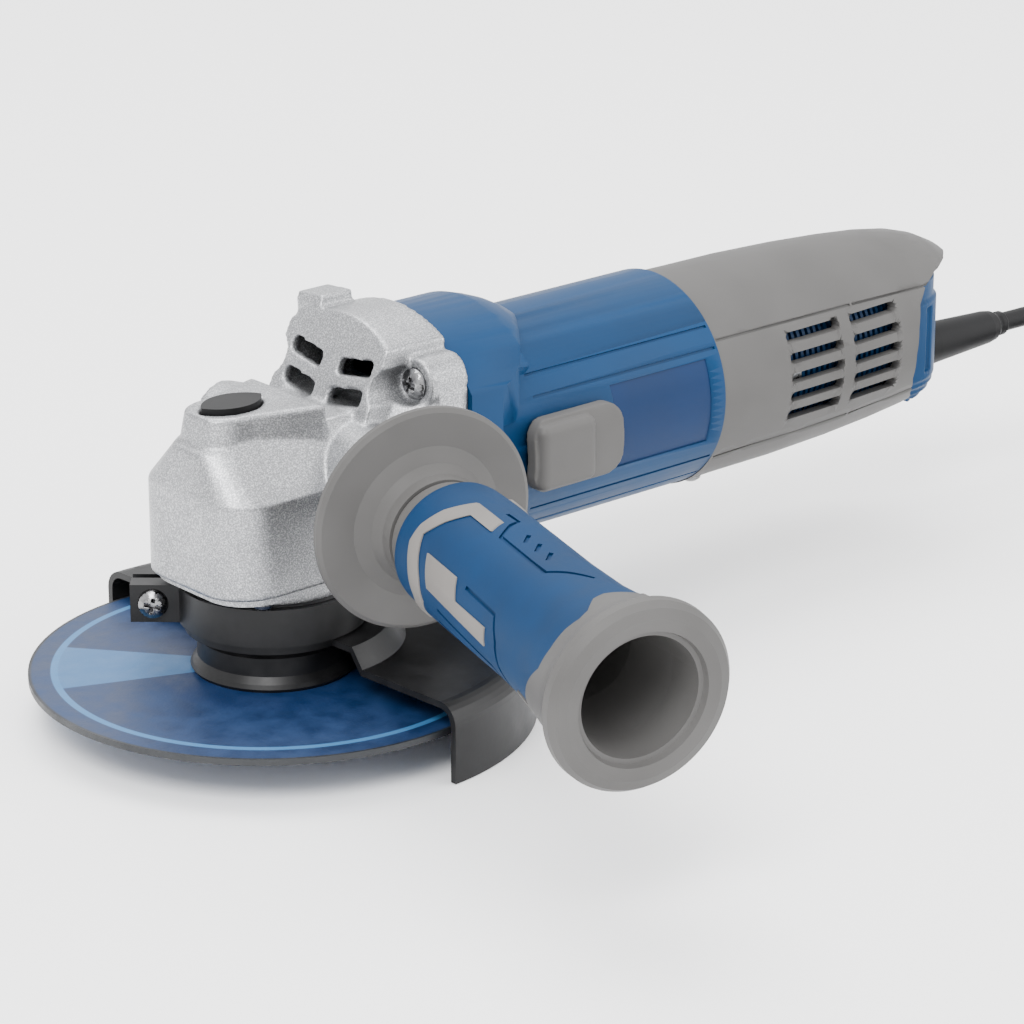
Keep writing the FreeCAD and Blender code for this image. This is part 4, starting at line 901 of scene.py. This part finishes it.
@dataclass
class MotorBody:
    """The motor housing, switch, rear cover and what they hold."""

    axle: float = AXLE_MM
    barrel: float = 27.3
    barrel_span: tuple[float, float] = (60.0, 119.2)
    cover_drop: float = 0.8
    cover_angles: tuple[float, ...] = (34.0, -34.0, 146.0, 214.0)
    cover_runs: tuple[tuple[float, float, float, float], ...] = (
        (121.0, 169.0, 26.85, 25.95),
        (169.6, 199.0, 25.93, 23.7),
    )
    groove_angles: tuple[float, ...] = (41.0, 29.0, -33.0, -48.0)

    def groove(self, start: float, end: float, radius: float, end_radius: float, degrees: float,
               middle_z: float) -> bpy.types.Object:
        """A long thin cutter that lies along the body at an angle round its axis.

        Args:
            start: where it starts along the axis.
            end: where it ends.
            radius: the body's radius at its start.
            end_radius: the body's radius at its end.
            degrees: the angle above the horizontal; over 90 lies on the far side.
            middle_z: the height of the body's axis.

        Returns:
            The cutter.
        """
        turn = math.radians(degrees)
        out = Vector((0, -math.cos(turn), math.sin(turn)))
        lean = math.atan2(end_radius - radius, end - start)
        along = Vector((math.cos(lean), 0, 0)) + out * math.sin(lean)
        side = along.cross(out).normalized()
        axes = Matrix((along, side, side.cross(along) * -1)).transposed()
        width, height, depth = 0.7, 2.9, 0.45
        lift = (radius + end_radius) / 2 + height / 2 - depth
        middle = Vector(((start + end) / 2, 0, middle_z)) + out * lift
        return block((math.hypot(end - start, end_radius - radius), width, height), middle, axes)

    def housing(self) -> None:
        """The blue moulding, with long grooves in its barrel."""
        piece = twin("motor_housing", "motor_housing_moulded")
        cutters = [self.groove(*self.barrel_span, self.barrel, self.barrel, angle, self.axle)
                   for near in self.groove_angles for angle in (near, 180.0 - near)]
        cut_by(piece, cutters)
        smooth(piece)
        BLUE_PLASTIC.dress(ride(piece, "housing", "blue_plastic", "motor_housing"))
        log.info("built %s", piece.name)

    def cover(self) -> None:
        """The grey rear cover, with one long groove on each side below its visor."""
        piece = twin("rear_cover", "rear_cover_moulded")
        cutters = [self.groove(*run, angle, self.axle - self.cover_drop)
                   for angle in self.cover_angles for run in self.cover_runs]
        cut_by(piece, cutters)
        smooth(piece)
        GREY_PLASTIC.dress(ride(piece, "housing", "grey_plastic", "rear_cover"))
        log.info("built %s", piece.name)

    def build(self) -> None:
        """Makes the body's pieces."""
        self.housing()
        self.cover()
        button = recast("switch_button", "switch_button_moulded", 0.3, 5)
        GREY_PLASTIC.dress(ride(button, "switch_slider", "grey_plastic", "switch_button"))
        cap = recast("tail_cap", "tail_cap_moulded", 0.4, 3)
        BLUE_PLASTIC.dress(ride(cap, "housing", "blue_plastic", "tail_cap"), NODES["tail_grille"])
        PANEL_PLASTIC.dress(NODES["side_panel"])
        LEAD_RUBBER.dress(NODES["strain_relief"], NODES["lead_end"])
        PLATED_SCREW.dress(NODES["cover_screws"], NODES["clamp_screws"])
        TURNED_STEEL.dress(*(NODES[n] for n in ("armature_shaft", "armature_core", "stator_core",
                                               "rear_bearing", "switch_rod", "brush_spring_left",
                                               "brush_spring_right")))
        COPPER.dress(*(NODES[n] for n in ("armature_windings", "field_windings", "commutator")))
        BRASS.dress(NODES["brush_holder_left"], NODES["brush_holder_right"])
        CARBON.dress(NODES["carbon_brush_left"], NODES["carbon_brush_right"])
        BLACK_PLASTIC.dress(*(NODES[n] for n in ("cooling_fan", "air_baffle", "switch_module",
                                                "cord_clamp")))
        RESIN.dress(NODES["capacitor"])


# ------------------------------------------------------------------ guard, disc and handle


@dataclass
class GuardAndDisc:
    """The guard with its clamp, the flanges and the cutting disc."""

    def build(self) -> None:
        """Makes the guard's and the disc's pieces."""
        BLACK_STEEL.dress(*(NODES[n] for n in ("guard_shell", "guard_band", "backing_flange", "lock_nut")))
        PLATED_SCREW.dress(NODES["band_nut"])
        DISC_PRINT.dress(NODES["cutting_disc"])


@dataclass
class SideHandle:
    """The canted side handle: flange, grey core with its flared end, and the blue grip with grey inlays."""

    foot: tuple[float, float, float] = (18.0, 0.0, 60.2)
    cant: float = 13.5
    droop: float = 4.0
    groove_width: float = 1.0
    grip_radius: float = 15.3
    inlay_radius: float = 15.5
    skirt_radius: float = 17.6
    band: tuple[tuple[float, float], ...] = (
        (-50, 71), (-22, 73), (3, 72), (23, 70.3), (39, 71), (60, 73.5), (84, 77), (84.4, 88.5), (71, 90.3),
        (71, 80.8), (53, 77.3), (34, 73.7), (18, 75.4), (1, 77.3), (-20, 77.6), (-50, 73))
    inlay: tuple[tuple[float, float], ...] = (
        (24.5, 78.6), (24.3, 92.4), (6.7, 94.3), (5.9, 108), (-10.5, 107.8), (-2, 81.3))
    grooves: tuple[tuple[tuple[float, float], ...], ...] = (
        ((97, 84.5), (98.5, 89), (89.4, 90.2), (73, 93.6), (72.5, 113.8), (85.5, 117.3), (100, 122)),
        ((93, 96.5), (83.5, 99.5)), ((93, 101.5), (83.5, 104.5)), ((93, 106.5), (83.5, 109.5)),
        ((22.4, 96.7), (20.6, 110.5), (2, 113), (-19, 113.3), (-48, 116.2)),
        ((-16.5, 84.9), (-30, 108.4), (-48, 115)),
        ((-34, 82.2), (-47, 99.8)))
    wave: tuple[tuple[float, float], ...] = (
        (-35, 124.5), (-18, 127), (0, 131), (14, 135.6), (30, 137), (47, 137.4), (58, 138.4), (66, 137.6),
        (76, 134), (85, 133.4), (100, 134.6), (112, 135), (125, 131), (145, 124.5))

    def way(self) -> Vector:
        """The direction of the handle's axis."""
        cant, droop = math.radians(self.cant), math.radians(self.droop)
        level = Vector((-math.sin(cant), -math.cos(cant), 0)) * math.cos(droop)
        return level - Vector((0, 0, math.sin(droop)))

    def side(self) -> Vector:
        """The direction that angle 0 points in, square to the axis and level."""
        return self.way().cross(Vector((0, 0, 1))).normalized()

    def up(self) -> Vector:
        """The direction that angle 90 points in."""
        return self.side().cross(self.way()).normalized()

    def radial(self, degrees: float) -> Vector:
        """The direction out from the axis at an angle."""
        turn = math.radians(degrees)
        return self.side() * math.cos(turn) + self.up() * math.sin(turn)

    def stamp(self, name: str, outline: list[tuple[float, float]], radius: float, facing: float,
              flip: bool = False) -> bpy.types.Object:
        """A prism whose outline, drawn on the grip by angle and distance, faces one way.

        Args:
            name: the prism's name.
            outline: pairs of angle and distance along the handle.
            radius: the grip's radius there.
            facing: the angle that the prism runs along.
            flip: True to repeat the outline half a turn on.

        Returns:
            The prism, from the handle's middle out past its skin.
        """
        extra = 180.0 if flip else 0.0
        front = self.radial(facing + extra)
        across = self.way().cross(front).normalized()
        corners = []
        for degrees, along in outline:
            shift = self.radial(degrees + extra).dot(across) * radius
            corners.append(Vector(self.foot) + self.way() * along + across * shift + front * 2.0)
        return prism(name, corners, front * 24.0)

    def line_outline(self, line: tuple[tuple[float, float], ...], radius: float) -> list[tuple[float, float]]:
        """Widens a line on the grip to a closed outline of the groove's width.

        Args:
            line: pairs of angle and distance.
            radius: the grip's radius there.

        Returns:
            The outline, in the same kind of pairs.
        """
        scale = math.radians(1.0) * radius
        flat = [Vector((degrees * scale, along)) for degrees, along in line]
        left, right = [], []
        for index, point in enumerate(flat):
            before = flat[max(index - 1, 0)]
            after = flat[min(index + 1, len(flat) - 1)]
            run = (after - before).normalized()
            square = Vector((-run.y, run.x)) * (self.groove_width / 2)
            left.append(point + square)
            right.append(point - square)
        return [(p.x / scale, p.y) for p in left + right[::-1]]

    def shell(self, name: str, profile: list[tuple[float, float]]) -> bpy.types.Object:
        """A turned shell on the handle's axis."""
        return lathe(name, Vector(self.foot) * MM, self.way(), profile, 128)

    def grip(self) -> None:
        """The blue grip with its grooves."""
        floor, past = self.grip_radius - 0.55, self.grip_radius + 2.2
        grip = self.shell("handle_grip_moulded", [
            (12.7, 63.0), (13.6, 62.9), (14.3, 63.3), (14.8, 64.2), (15.0, 65.4), (15.25, 72.0), (15.3, 90.0),
            (15.3, 108.0), (15.8, 122.0), (16.6, 129.0), (17.15, 132.0), (17.6, 134.5), (18.0, 137.0),
            (18.35, 138.8), (16.0, 138.8), (15.6, 132.0), (12.7, 127.6), (12.7, 63.0)])
        for flip in (False, True):
            for index, line in enumerate(self.grooves):
                facing = sum(degrees for degrees, along in line) / len(line)
                outline = self.line_outline(line, self.grip_radius)
                cutter = self.stamp(f"groove_{index}", outline, self.grip_radius, facing, flip)
                ring = self.shell("groove_depth", [(floor, 66.0), (past, 66.0), (past, 126.0), (floor, 126.0),
                                                   (floor, 66.0)])
                cut_by(cutter, [ring], keep=True)
                cut_by(grip, [cutter])
        smooth(grip, 40.0)
        GRIP_BLUE.dress(ride(grip, "housing", "grip_rubber", "handle_grip"))
        log.info("built %s", grip.name)

    def inlays(self) -> None:
        """The raised grey lines on the grip, each a slice of a thin shell."""
        for name, outline, facing in (("grip_band", self.band, 18.0), ("grip_inlay", self.inlay, 6.0)):
            for flip in (False, True):
                piece = self.shell(f"{name}_{'far' if flip else 'near'}", [
                    (14.9, 66.0), (15.62, 66.0), (15.62, 118.0), (14.9, 118.0), (14.9, 66.0)])
                stamp = self.stamp("stamp", list(outline), self.inlay_radius, facing, flip)
                cut_by(piece, [stamp], keep=True)
                modify(piece, "BEVEL", width=0.22 * MM, segments=2, limit_method="ANGLE",
                       angle_limit=math.radians(50))
                smooth(piece, 40.0)
                GRIP_GREY.dress(ride(piece, "housing", "grey_plastic"))

    def collar(self) -> None:
        """The grey skirt of the flared end, which laps over the grip in a wave."""
        skirt = self.shell("handle_skirt", [
            (15.2, 121.0), (16.1, 121.0), (16.95, 129.0), (17.65, 133.0), (18.35, 137.6), (18.9, 140.2),
            (20.1, 142.6), (19.0, 143.0), (17.0, 140.0), (15.2, 126.0), (15.2, 121.0)])
        for flip in (False, True):
            outline = [*self.wave, (145, 112.0), (-35, 112.0)]
            cut_by(skirt, [self.stamp("wave", outline, self.skirt_radius, 55.0, flip)])
        smooth(skirt, 40.0)
        HANDLE_GREY.dress(ride(skirt, "housing", "grey_plastic"))
        log.info("built %s", skirt.name)

    def build(self) -> None:
        """Makes the handle's pieces."""
        HANDLE_GREY.dress(NODES["handle_flange"], NODES["handle_core"])
        self.grip()
        self.inlays()
        self.collar()


def main() -> None:
    """Builds every sub-assembly in order."""
    logging.basicConfig(level=logging.INFO, format="%(name)s: %(message)s")
    for assembly in (Studio(), MainsLead(), GearHead(), Screws(), MotorBody(), GuardAndDisc(), SideHandle()):
        assembly.build()
        log.info("finished %s", type(assembly).__name__)


if __name__ == "__main__":
    main()
